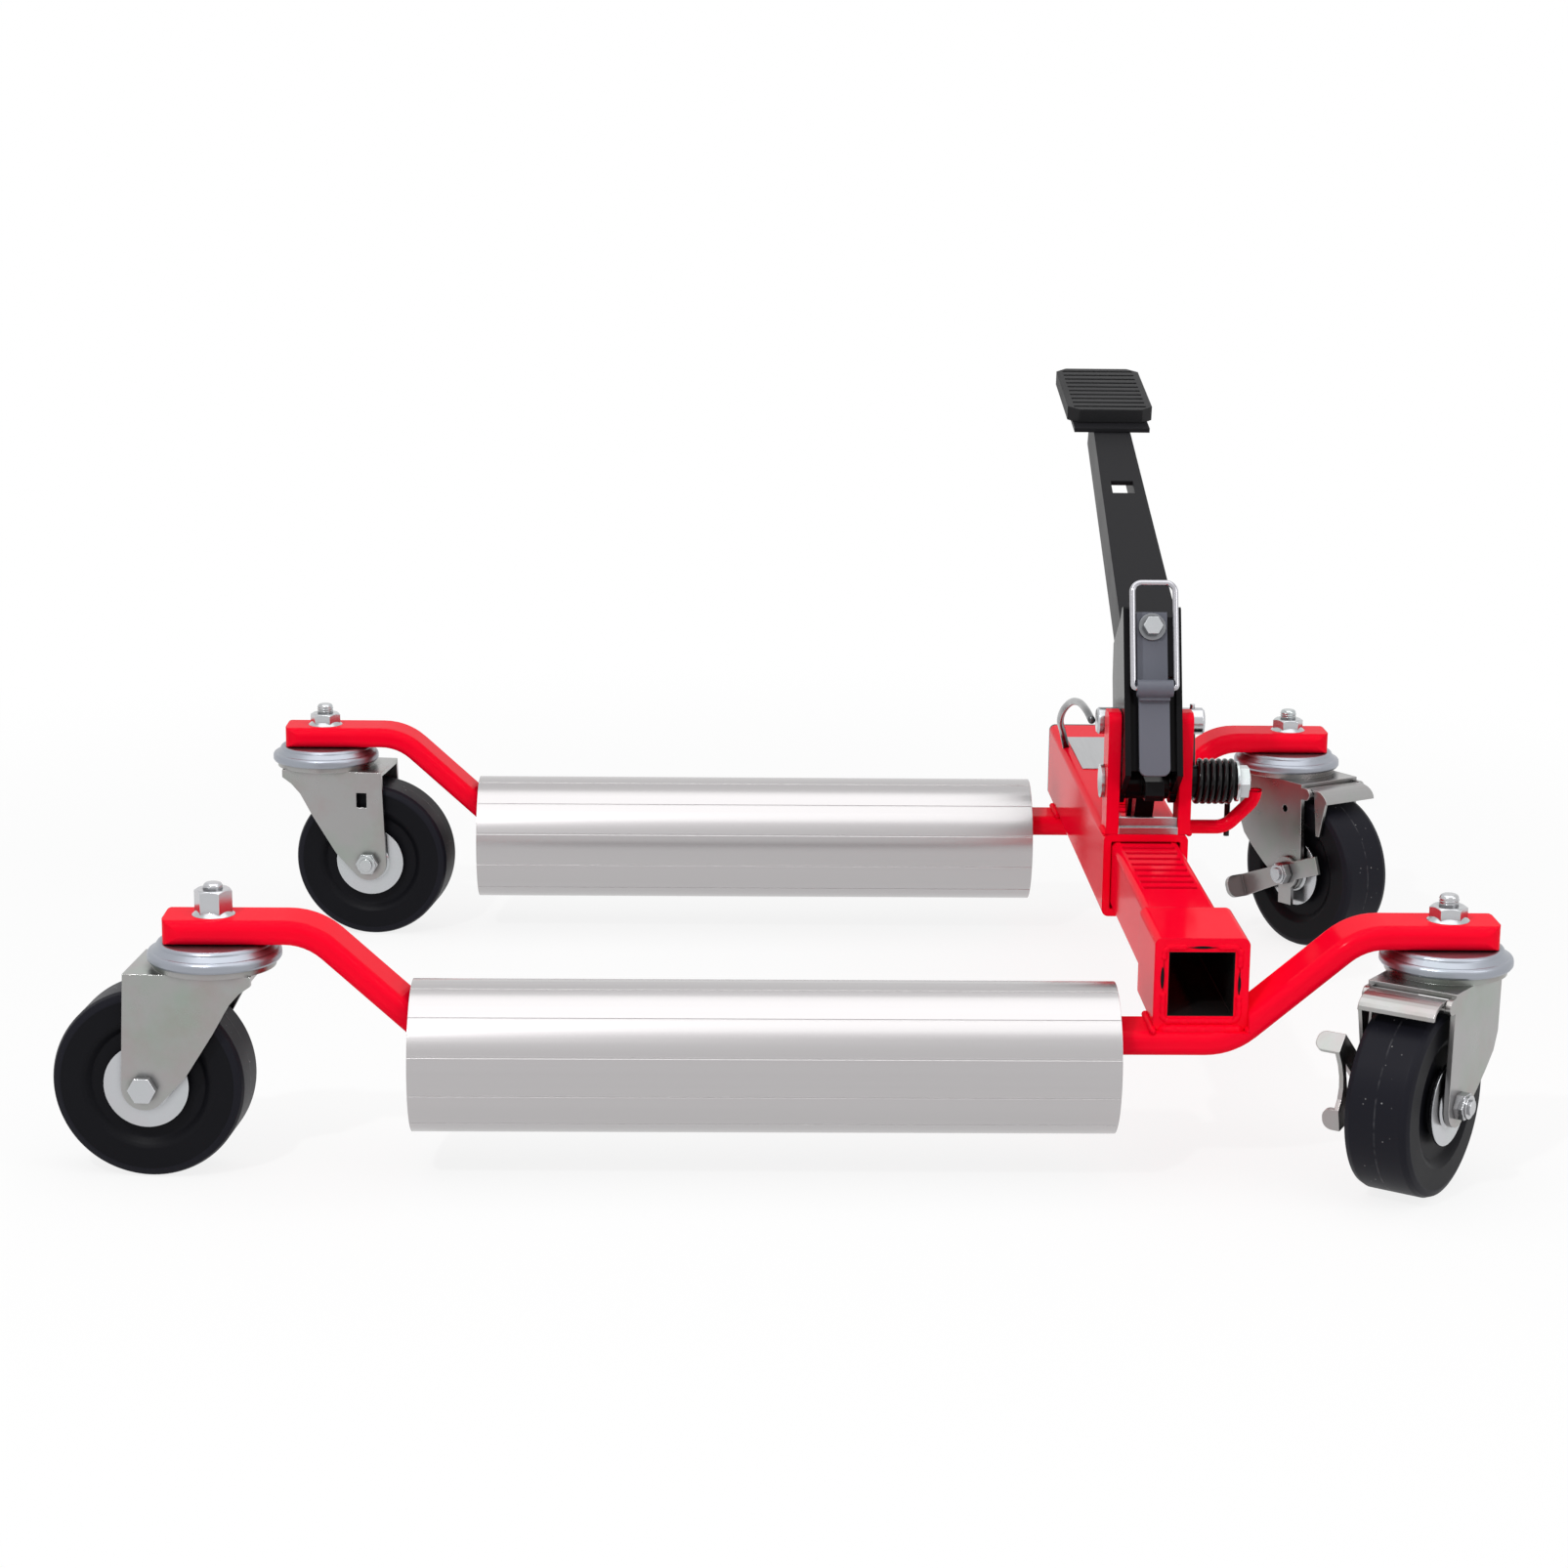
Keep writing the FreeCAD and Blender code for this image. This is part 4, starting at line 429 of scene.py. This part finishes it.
def paint(name, colour, thin, rough, shine, edge=0.0012, clear=0.0):
    """Sprayed paint: faint mottling, lighter edges (thinner paint there, and a painted highlight), orange
    peel, uneven gloss, a thin clear layer.
    """
    finish, tree, shader = finish_base(name)
    edges = use(tree, SOFT_EDGES, {"Radius": edge})
    skin = use(tree, GRAIN, {"Fine": 420.0, "Broad": 14.0})
    mottled = blended(tree, ranged(tree, skin.outputs["Broad"], 0.0, 0.25), colour, thin)
    # Edges take the thin colour: thinner paint there, and a painted highlight.
    wear_and_highlight = blended(tree, ranged(tree, edges.outputs["Edge"], 0.0, 0.35), mottled, thin)
    tree.links.new(wear_and_highlight, shader.inputs["Base Color"])
    glossy(tree, shader, skin.outputs["Broad"], rough, 0.07)
    embossed(tree, shader, skin.outputs["Fine"], ORANGE_PEEL, edges)
    shader.inputs["Specular IOR Level"].default_value = shine
    shader.inputs["Coat Weight"].default_value = clear
    shader.inputs["Coat Roughness"].default_value = CLEAR_ROUGH
    return finish


def plated(name, colour, rough, tint, edge=0.0006, relief=0.000012):
    """Zinc plating: tinted patches, soft sheen, edges lightened as a painted highlight, corners darkened as
    painted shade.
    """
    finish, tree, shader = finish_base(name)
    edges = use(tree, SOFT_EDGES, {"Radius": edge})
    skin = use(tree, GRAIN, {"Fine": 1300.0, "Broad": 40.0})
    tone = use(tree, PLATING_TINT, {"Base": colour, "Tint": tint})
    bright = scaled(colour, 1.5)
    corner_shade = scaled(colour, 0.2)
    shut = use(tree, CREVICE_SHADE, {"Reach": CREVICE_REACH})
    # Painted highlight on the edges, then painted shade in the corners, both in the base colour.
    wear_and_highlight = blended(tree, ranged(tree, edges.outputs["Edge"], 0.0, 0.7), tone.outputs[0], bright)
    tree.links.new(blended(tree, ranged(tree, shut.outputs["Dark"], 0.0, 0.75), wear_and_highlight, corner_shade),
                   shader.inputs["Base Color"])
    glossy(tree, shader, skin.outputs["Broad"], rough, 0.1)
    embossed(tree, shader, skin.outputs["Fine"], relief, edges)
    shader.inputs["Metallic"].default_value = 1.0
    return finish


def drawn_metal(name, colour, rough, stretch, relief, edge=0.0005, spread=0.08, glint=0.0):
    """Metal with lines along one direction: stretched noise in relief and gloss, edges lightened by glint as
    a painted highlight.
    """
    finish, tree, shader = finish_base(name)
    edges = use(tree, SOFT_EDGES, {"Radius": edge})
    lines = use(tree, GRAIN, {"Fine": 700.0, "Broad": 90.0, "Stretch": stretch})
    dark = scaled(colour, 0.9)
    bright = scaled(colour, 1.8)
    tone = blended(tree, lines.outputs["Broad"], colour, dark)
    # Painted highlight: the edges are lightened in the base colour by the glint amount.
    tree.links.new(blended(tree, ranged(tree, edges.outputs["Edge"], 0.0, glint), tone, bright),
                   shader.inputs["Base Color"])
    glossy(tree, shader, lines.outputs["Fine"], rough, spread)
    embossed(tree, shader, lines.outputs["Fine"], relief, edges)
    shader.inputs["Metallic"].default_value = 1.0
    return finish


def moulded(name, colour, rough, shine, fine, relief, edge=0.0008):
    """Moulded plastic or rubber: fine grain, slightly greyer raised spots, lighter edges as a painted
    highlight, even sheen.
    """
    finish, tree, shader = finish_base(name)
    edges = use(tree, SOFT_EDGES, {"Radius": edge})
    skin = use(tree, GRAIN, {"Fine": fine, "Broad": 30.0})
    pale = tuple(min(1.0, c * 1.6 + 0.006) for c in colour[:3]) + (1.0,)
    tone = blended(tree, ranged(tree, skin.outputs["Broad"], 0.0, 0.6), colour, pale)
    # Painted highlight: edges lightened towards the pale colour.
    tree.links.new(blended(tree, ranged(tree, edges.outputs["Edge"], 0.0, 0.4), tone, pale),
                   shader.inputs["Base Color"])
    glossy(tree, shader, skin.outputs["Broad"], rough, 0.07)
    embossed(tree, shader, skin.outputs["Fine"], relief, edges)
    shader.inputs["Specular IOR Level"].default_value = shine
    return finish


WHEEL_BLACK = (0.0042, 0.0042, 0.0058, 1.0)
WHEEL_PATCH = (0.0075, 0.0076, 0.0105, 1.0)
# The tread's lighter bluish colour is a painted sheen.
WHEEL_TREAD_SHEEN = (0.014, 0.014, 0.021, 1.0)
MOULD_LINE = (0.12, 0.12, 0.13, 1.0)
PALE_SPECK = (0.42, 0.42, 0.42, 1.0)


def wheel_rubber(corner):
    """Black wheel: mould line round the tread's middle, pale specks beside it."""
    stem_x, stem_y, heading = STEMS[corner]
    finish, tree, shader = finish_base("wheel_black_" + corner)
    turn = math.radians(heading)
    centre = spot(stem_x + WHEEL_TRAIL * math.cos(turn), stem_y + WHEEL_TRAIL * math.sin(turn), AXLE_Z)
    where = add(tree, "ShaderNodeTexCoord")
    own = add(tree, "ShaderNodeMapping", {"Vector": where.outputs["Object"], "Location": centre,
                                          "Rotation": (0.0, 0.0, turn)}, vector_type="TEXTURE")
    parts = add(tree, "ShaderNodeSeparateXYZ", {0: own.outputs[0]})
    off = math_node(tree, "ABSOLUTE", parts.outputs["Y"])
    across = math_node(tree, "SQRT", math_node(tree, "ADD",
                       math_node(tree, "POWER", parts.outputs["X"], 2.0),
                       math_node(tree, "POWER", parts.outputs["Z"], 2.0)))
    on_tread = math_node(tree, "GREATER_THAN", across, TREAD_FROM)
    wear_and_highlight = add(tree, "ShaderNodeTexNoise", {"Vector": own.outputs[0], "Scale": 160.0, "Detail": 2.0})
    line = math_node(tree, "MULTIPLY", math_node(tree, "MULTIPLY", mask(tree, off, 0.0007, 0.0002), on_tread),
                     mask(tree, wear_and_highlight.outputs["Fac"], 0.42, 0.62))
    dots = add(tree, "ShaderNodeTexVoronoi", {"Vector": own.outputs[0], "Scale": 420.0})
    chance = add(tree, "ShaderNodeSeparateColor", {0: dots.outputs["Color"]}).outputs[0]
    chosen = math_node(tree, "GREATER_THAN", chance, 0.9)
    near = math_node(tree, "MULTIPLY", mask(tree, off, 0.011, 0.003), on_tread)
    dot = math_node(tree, "MULTIPLY", mask(tree, dots.outputs["Distance"], 0.22, 0.12), chosen)
    speck = math_node(tree, "MULTIPLY", dot, near)
    edges = use(tree, SOFT_EDGES, {"Radius": 0.0015})
    skin = use(tree, GRAIN, {"Fine": 1100.0, "Broad": 35.0})
    tone = blended(tree, ranged(tree, skin.outputs["Broad"], 0.0, 0.6), WHEEL_BLACK, WHEEL_PATCH)
    # Painted sheen: the tread lighter and bluer than the sides.
    tone = blended(tree, math_node(tree, "MULTIPLY", on_tread, 0.6), tone, WHEEL_TREAD_SHEEN)
    tone = blended(tree, math_node(tree, "MULTIPLY", line, 0.35), tone, MOULD_LINE)
    tone = blended(tree, math_node(tree, "MULTIPLY", speck, 0.7), tone, PALE_SPECK)
    tree.links.new(tone, shader.inputs["Base Color"])
    tree.links.new(ranged(tree, skin.outputs["Broad"], 0.38, 0.5), shader.inputs["Roughness"])
    shader.inputs["Specular IOR Level"].default_value = 0.09
    height = math_node(tree, "ADD", math_node(tree, "MULTIPLY", skin.outputs["Fine"], 0.1), line)
    embossed(tree, shader, height, MOULD_RELIEF, edges)
    return finish


TUBE_SHADE = (0.012, 0.011, 0.011, 1.0)


def beam_paint(name, outside):
    """Red paint outside the sliding tube; inside it no red paint, and near black as painted shade of the
    hollow.
    """
    finish = outside.copy()
    finish.name = name
    tree = finish.node_tree
    shader = next(n for n in tree.nodes if n.type == "BSDF_PRINCIPLED")
    painted = shader.inputs["Base Color"].links[0].from_socket
    where = add(tree, "ShaderNodeTexCoord")
    middle = spot(0.0, 0.0, (BEAM_LOW_Z + BEAM_TOP_Z) / 2)
    own = add(tree, "ShaderNodeVectorMath", {0: where.outputs["Object"], 1: middle}, operation="SUBTRACT")
    parts = add(tree, "ShaderNodeSeparateXYZ", {0: own.outputs[0]})
    reach = math_node(tree, "MAXIMUM", math_node(tree, "ABSOLUTE", parts.outputs["X"]),
                      math_node(tree, "ABSOLUTE", parts.outputs["Z"]))
    inside = math_node(tree, "LESS_THAN", reach, TUBE_INSIDE)
    # Painted shade: inside the tube the colour turns near black.
    tree.links.new(blended(tree, inside, painted, TUBE_SHADE), shader.inputs["Base Color"])
    return finish


# Finishes
RED = (0.95, 0.001, 0.02, 1.0)
# Red of thinner paint, also laid on the edges as a painted highlight.
RED_THIN = (0.97, 0.006, 0.035, 1.0)
ZINC = (0.355, 0.35, 0.348, 1.0)
FINISH = {
    "red": paint("red_paint", RED, RED_THIN, 0.12, 0.004, clear=0.07),
    "black": paint("black_gloss", (0.006, 0.006, 0.007, 1.0), (0.02, 0.02, 0.022, 1.0), 0.18, 0.02,
                   edge=0.0011, clear=0.1),
    "satin": paint("black_satin", (0.011, 0.0108, 0.0125, 1.0), (0.026, 0.026, 0.029, 1.0), 0.4, 0.08),
    # The leaf's lighter blue-grey is a painted reflection of the sky on black paint.
    "leaf": paint("leaf_painted_reflection", (0.118, 0.125, 0.155, 1.0), (0.18, 0.185, 0.215, 1.0), 0.38, 0.25,
                  edge=0.0008),
    "zinc": plated("zinc_plate", ZINC, 0.3, 0.7),
    "bolt": plated("zinc_bright", (0.50, 0.51, 0.53, 1.0), 0.21, 0.3),
    "race": plated("zinc_raceway", (0.335, 0.355, 0.40, 1.0), 0.36, 0.15, edge=0.0004, relief=0.000004),
    "chrome": drawn_metal("bright_wire", (0.46, 0.455, 0.485, 1.0), 0.16, (1.0, 1.0, 1.0), 0.000006),
    # Painted shade: the washer's zinc is darker than the bolt's, for the shadow under the bolt head.
    "washer": plated("zinc_washer_shaded", (0.24, 0.245, 0.26, 1.0), 0.2, 0.2),
    "cable": plated("keeper_wire", (0.11, 0.112, 0.118, 1.0), 0.22, 0.1),
    # The roller's glint paints a bright highlight line along its edges.
    "roller": drawn_metal("mill_aluminium", (0.505, 0.49, 0.494, 1.0), 0.25, (0.003, 1.0, 1.0), 0.0000015,
                          edge=0.0004, spread=0.03, glint=0.7),
    "plate": drawn_metal("bare_plate", (0.44, 0.445, 0.455, 1.0), 0.36, (1.0, 0.03, 1.0), 0.000008),
    "nylon": moulded("nylon", (0.03, 0.03, 0.032, 1.0), 0.5, 0.3, 700.0, 0.00003),
    "cap": moulded("cap_plastic", (0.01, 0.01, 0.011, 1.0), 0.45, 0.3, 800.0, 0.00004),
    "spring": paint("spring_black", (0.0035, 0.0035, 0.0042, 1.0), (0.01, 0.01, 0.011, 1.0), 0.14, 0.06,
                    edge=0.0003, clear=0.3),
    "rubber": moulded("pad_rubber", (0.006, 0.006, 0.007, 1.0), 0.55, 0.2, 1500.0, 0.00006, edge=0.0011),
}
FINISH["beam"] = beam_paint("red_paint_tube", FINISH["red"])
NODE_FINISH = {
    "red": ("front_cross_bar", "rear_cross_bar", "front_sleeve", "housing_tube", "ear_left", "ear_right",
            "anchor_bar"),
    "beam": ("inner_tube",),
    "black": ("pedal_bracket", "drive_pawl", "hold_pawl", "spring_bush"),
    "satin": ("pedal_arm", "pad_plate"),
    "leaf": ("leaf_strip",),
    "bolt": ("stem_bolts_front", "stem_bolts_rear", "stem_nuts_front", "stem_nuts_rear", "swivel_balls_front",
             "swivel_balls_rear", "pivot_bolt", "pivot_nut", "pivot_washer", "wear_strip",
             "cross_pin", "roll_pin", "pedal_bolt", "drive_pin"),
    "washer": ("pedal_washer",),
    "race": ("upper_races_front", "upper_races_rear"),
    "chrome": ("bail_wire",),
    "cable": ("keeper_wire",),
    "roller": ("roller_front", "roller_rear"),
    "plate": ("blank_plate",),
    "nylon": ("roller_bushes_front", "roller_bushes_rear"),
    "cap": ("housing_end_cap",),
    "spring": ("return_spring",),
    "rubber": ("foot_pad",),
}


def dress(piece, finish):
    """One finish on all of a piece's faces."""
    piece.data.materials.clear()
    piece.data.materials.append(finish)
    return piece


for kind, names in NODE_FINISH.items():
    for name in names:
        dress(NODES[name], FINISH[kind])
for corner in STEMS:
    dress(NODES["caster_wheel_" + corner], wheel_rubber(corner))
    dress(NODES["caster_fork_" + corner], FINISH["zinc"])
    dress(NODES["caster_axle_" + corner], FINISH["bolt"])
for corner in ("fr", "rr"):
    dress(NODES["brake_lever_" + corner], FINISH["zinc"])
    dress(NODES["brake_shoe_" + corner], FINISH["zinc"])


# Return spring: a helix with two straight legs round the pedal's pivot

def spring_line():
    """Centre line: upper leg, turns with x eased at both ends, lower leg."""
    dy = CROSS_PIN[0] - PIVOT[0]
    dz = CROSS_PIN[1] - PIVOT[1]
    clear = SPRING_R - CROSS_PIN_R - SPRING_WIRE / 2 - SPRING_AIR
    lean = math.acos(clear / math.hypot(dy, dz)) - math.atan2(dz, dy)
    share = np.linspace(0, 1, 48 * SPRING_TURNS + 1)
    slope = np.clip(np.minimum(share, 1 - share) / 0.04, 0, 1)
    climb = np.concatenate([[0], np.cumsum((slope[1:] + slope[:-1]) / 2)])
    x = SPRING_X[0] + (SPRING_X[1] - SPRING_X[0]) * climb / climb[-1]
    a = -lean - (2 * np.pi * SPRING_TURNS - lean) * share
    turns = np.stack([x, PIVOT[0] + SPRING_R * np.cos(a), PIVOT[1] + SPRING_R * np.sin(a)], axis=1)
    start = np.array([0, np.sin(a[0]), -np.cos(a[0])])
    end = np.array([0, np.sin(a[-1]), -np.cos(a[-1])])
    upper = turns[0] - start * np.linspace(SPRING_LEGS[0], 0, 12, endpoint=False)[:, None]
    lower = turns[-1] + end * np.linspace(SPRING_LEGS[1], 0, 12, endpoint=False)[::-1][:, None]
    return np.concatenate([upper, turns, lower])


spring = tube_piece("wound_spring", spots(spring_line()), SPRING_WIRE / 2 * MM, 20, np.array([1.0, 0, 0]))
dress(spring, FINISH["spring"])
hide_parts("return_spring")
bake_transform(spring)


# Keeper wire: a smooth wire on the drawing's route, bent between the cross pin and the housing

keeper = tube_piece("formed_keeper_wire", spots(smooth_route(KEEPER_ROUTE, 10)), KEEPER_D / 2 * MM, 20,
                    np.array([1.0, 0, 0]))
dress(keeper, FINISH["cable"])
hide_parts("keeper_wire")
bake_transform(keeper)


# Weld beads: a half-sunk rope of overlapping drops along a seam

def weld_bead(name, body, points, radius, drops_per_mm=0.45, reference=(0.0, 0.0, 1.0)):
    """Bead along a line of points: r(s) = radius (0.82 + 0.18 |sin(pi d s)|), thinner at both ends."""
    steps = 10
    line = np.asarray(points, float)
    length = np.concatenate([[0], np.cumsum(np.linalg.norm(np.diff(line, axis=0), axis=1))])
    s = np.linspace(0, length[-1], max(12, int(length[-1] * drops_per_mm * steps)))
    path = np.stack([np.interp(s, length, line[:, k]) for k in range(3)], axis=1)
    swell = 0.82 + 0.18 * np.abs(np.sin(np.pi * drops_per_mm * s))
    taper = np.sqrt(np.clip(np.minimum(s, length[-1] - s) / radius, 0.02, 1))
    bead = tube_piece(name, spots(path), radius * swell * taper * MM, 10, np.array(reference))
    dress(bead, FINISH["red"])
    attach(bead, body)


# Radii and places of the straight beads, in millimetres: each lies just off the faces that it joins
BEAD_R = 2.0
EAR_BEAD_R = 1.9
SLEEVE_BEAD_R = 3.0
BAR_BEAD_X = BEAM_HALF + 0.3
BAR_BEAD_Z = BEAM_LOW_Z + 0.6
EAR_SIDE_Y = HOUSING_FRONT_Y + 2
EAR_SIDE_Z = BEAM_TOP_Z - 0.2
EAR_END_X = (EAR_INNER_X + 1, BEAM_HALF - 2)
EAR_END_Y = EAR_BACK_Y + 0.4
EAR_END_Z = BEAM_TOP_Z + 0.3
SLEEVE_BEAD_X = (3 - BEAM_HALF, BEAM_HALF - 2)
SLEEVE_BEAD_Y = SLEEVE_FRONT_Y - 0.4
SLEEVE_BEAD_Z = BEAM_LOW_Z + 0.4
for label, side in (("left", -1), ("right", 1)):
    for end, body, bar_y in (("front", "front_frame", 0.0), ("rear", "rear_frame", BAR_SPACING)):
        bar_faces = (bar_y - BAR_HALF_DEPTH, bar_y + BAR_HALF_DEPTH)
        weld_bead("bead_" + end + "_bar_" + label, body,
                  [(side * BAR_BEAD_X, y, BAR_BEAD_Z) for y in bar_faces], BEAD_R)
    weld_bead("bead_ear_outside_" + label, "rear_frame",
              [(EAR_SHIFT + side * BEAM_HALF, y, EAR_SIDE_Z) for y in (EAR_SIDE_Y, EAR_BACK_Y)], BEAD_R)
    weld_bead("bead_ear_back_" + label, "rear_frame",
              [(EAR_SHIFT + side * x, EAR_END_Y, EAR_END_Z) for x in EAR_END_X], EAR_BEAD_R)
weld_bead("bead_sleeve_front", "front_frame", [(x, SLEEVE_BEAD_Y, SLEEVE_BEAD_Z) for x in SLEEVE_BEAD_X],
          SLEEVE_BEAD_R, drops_per_mm=0.2)

# Welds of the sleeve's mouth, as points across and up from its middle
MOUTH = 20.1
MOUTH_SOFT = 2.5
MOUTH_SUNK = 0.9
MOUTH_BEAD_R = 1.9
MOUTH_Z = (BEAM_LOW_Z + BEAM_TOP_Z) / 2
MOUTH_WELDS = {
    "upper_left": [(-MOUTH, 12.4), (-MOUTH, MOUTH - MOUTH_SOFT), (MOUTH_SOFT - MOUTH, MOUTH), (-7.5, MOUTH)],
    "upper_right": [(7.5, MOUTH), (MOUTH - MOUTH_SOFT, MOUTH), (MOUTH, MOUTH - MOUTH_SOFT), (MOUTH, 8.1)],
    "lower": [(MOUTH, -5.4), (MOUTH, MOUTH_SOFT - MOUTH), (MOUTH - MOUTH_SOFT, -MOUTH),
              (MOUTH_SOFT - MOUTH, -MOUTH), (-MOUTH, MOUTH_SOFT - MOUTH), (-MOUTH, -3.8)],
}
for label, line in MOUTH_WELDS.items():
    weld_bead("bead_mouth_" + label, "front_frame",
              [(x, SLEEVE_FRONT_Y + MOUTH_SUNK, MOUTH_Z + z) for x, z in line], MOUTH_BEAD_R,
              drops_per_mm=0.25, reference=(0.0, 1.0, 0.0))


# Painted shadow of the gaps between the welds of the sleeve's mouth: thin black spindles sunk in the joint,
# standing for the shade in the gaps

def gap_shadow(name, body, start, end, radius):
    """Sunk black spindle from start to end, a painted shadow: r(s) = radius sin(pi s)^0.6."""
    s = np.linspace(0, 1, 33)
    path = np.asarray(start) + (np.asarray(end) - np.asarray(start)) * s[:, None]
    swell = np.clip(np.sin(np.pi * s), 0.02, 1) ** 0.6
    shadow_strip = tube_piece(name, spots(path), radius * swell * MM, 12, np.array([0.0, 1.0, 0.0]))
    dress(shadow_strip, FINISH["black"])
    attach(shadow_strip, body)


GAP_SUNK = 0.6
GAP_SHADOWS = {
    "top": ((-7.0, MOUTH), (7.5, MOUTH), 0.95),
    "left": ((-MOUTH - 0.6, 11.5), (-MOUTH - 0.6, -4.5), 1.1),
    "right": ((MOUTH, 6.5), (MOUTH, -6.5), 0.9),
}
for label, (start, end, radius) in GAP_SHADOWS.items():
    gap_shadow("gap_shadow_mouth_" + label, "front_frame", (start[0], SLEEVE_FRONT_Y + GAP_SUNK, MOUTH_Z + start[1]),
             (end[0], SLEEVE_FRONT_Y + GAP_SUNK, MOUTH_Z + end[1]), radius)


# Threads: a fine ridge wound round each stem end

def thread(name, body, centre, radius, low, height, pitch, depth):
    """Helical ridge: a closed triangle section, two points in the shank and one out, carried up a helix."""
    turns = height / pitch
    t = np.linspace(0, 2 * np.pi * turns, int(28 * turns) + 1)
    fade = np.clip(np.minimum(t, t[-1] - t) / 1.2, 0.02, 1)
    out = np.stack([np.zeros_like(t), depth * fade, np.zeros_like(t)], axis=1)
    rise = np.stack([-0.42 * pitch * fade, np.zeros_like(t), 0.42 * pitch * fade], axis=1)
    r = radius - 0.15 + out
    z = low + pitch * t[:, None] / (2 * np.pi) + rise
    points = np.stack([centre[0] + r * np.cos(t)[:, None], centre[1] + r * np.sin(t)[:, None], z], axis=-1)
    ridge = closed_rings(name, spots(points)[:, ::-1])
    dress(ridge, FINISH["bolt"])
    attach(ridge, body)


for corner, (stem_x, stem_y, heading) in STEMS.items():
    nut_top, proud = STEM_THREADS[corner]
    frame_body = "front_frame" if corner[0] == "f" else "rear_frame"
    thread("stem_thread_" + corner, frame_body, (stem_x, stem_y), STEM_R,
           nut_top + THREAD_START, proud - THREAD_SHORT, THREAD_PITCH, THREAD_DEPTH)


# Stage
photo_camera()
white_room(ambient=0.42)
pale_floor(half=6.0, glow=0.84)
MIDDLE = (CAD_BOX[0] + CAD_BOX[1]) / 2
soft_lamp("top", MIDDLE + Vector((0.0, -0.35, 2.0)), MIDDLE, size=2.8, power=27.0)
soft_lamp("key", MIDDLE + Vector((-0.9, -1.7, 1.7)), MIDDLE, size=0.08, power=17.0)
soft_lamp("fill", MIDDLE + Vector((1.6, -1.3, 0.9)), MIDDLE, size=1.0, power=7.0)
bpy.context.scene.view_settings.view_transform = "Standard"
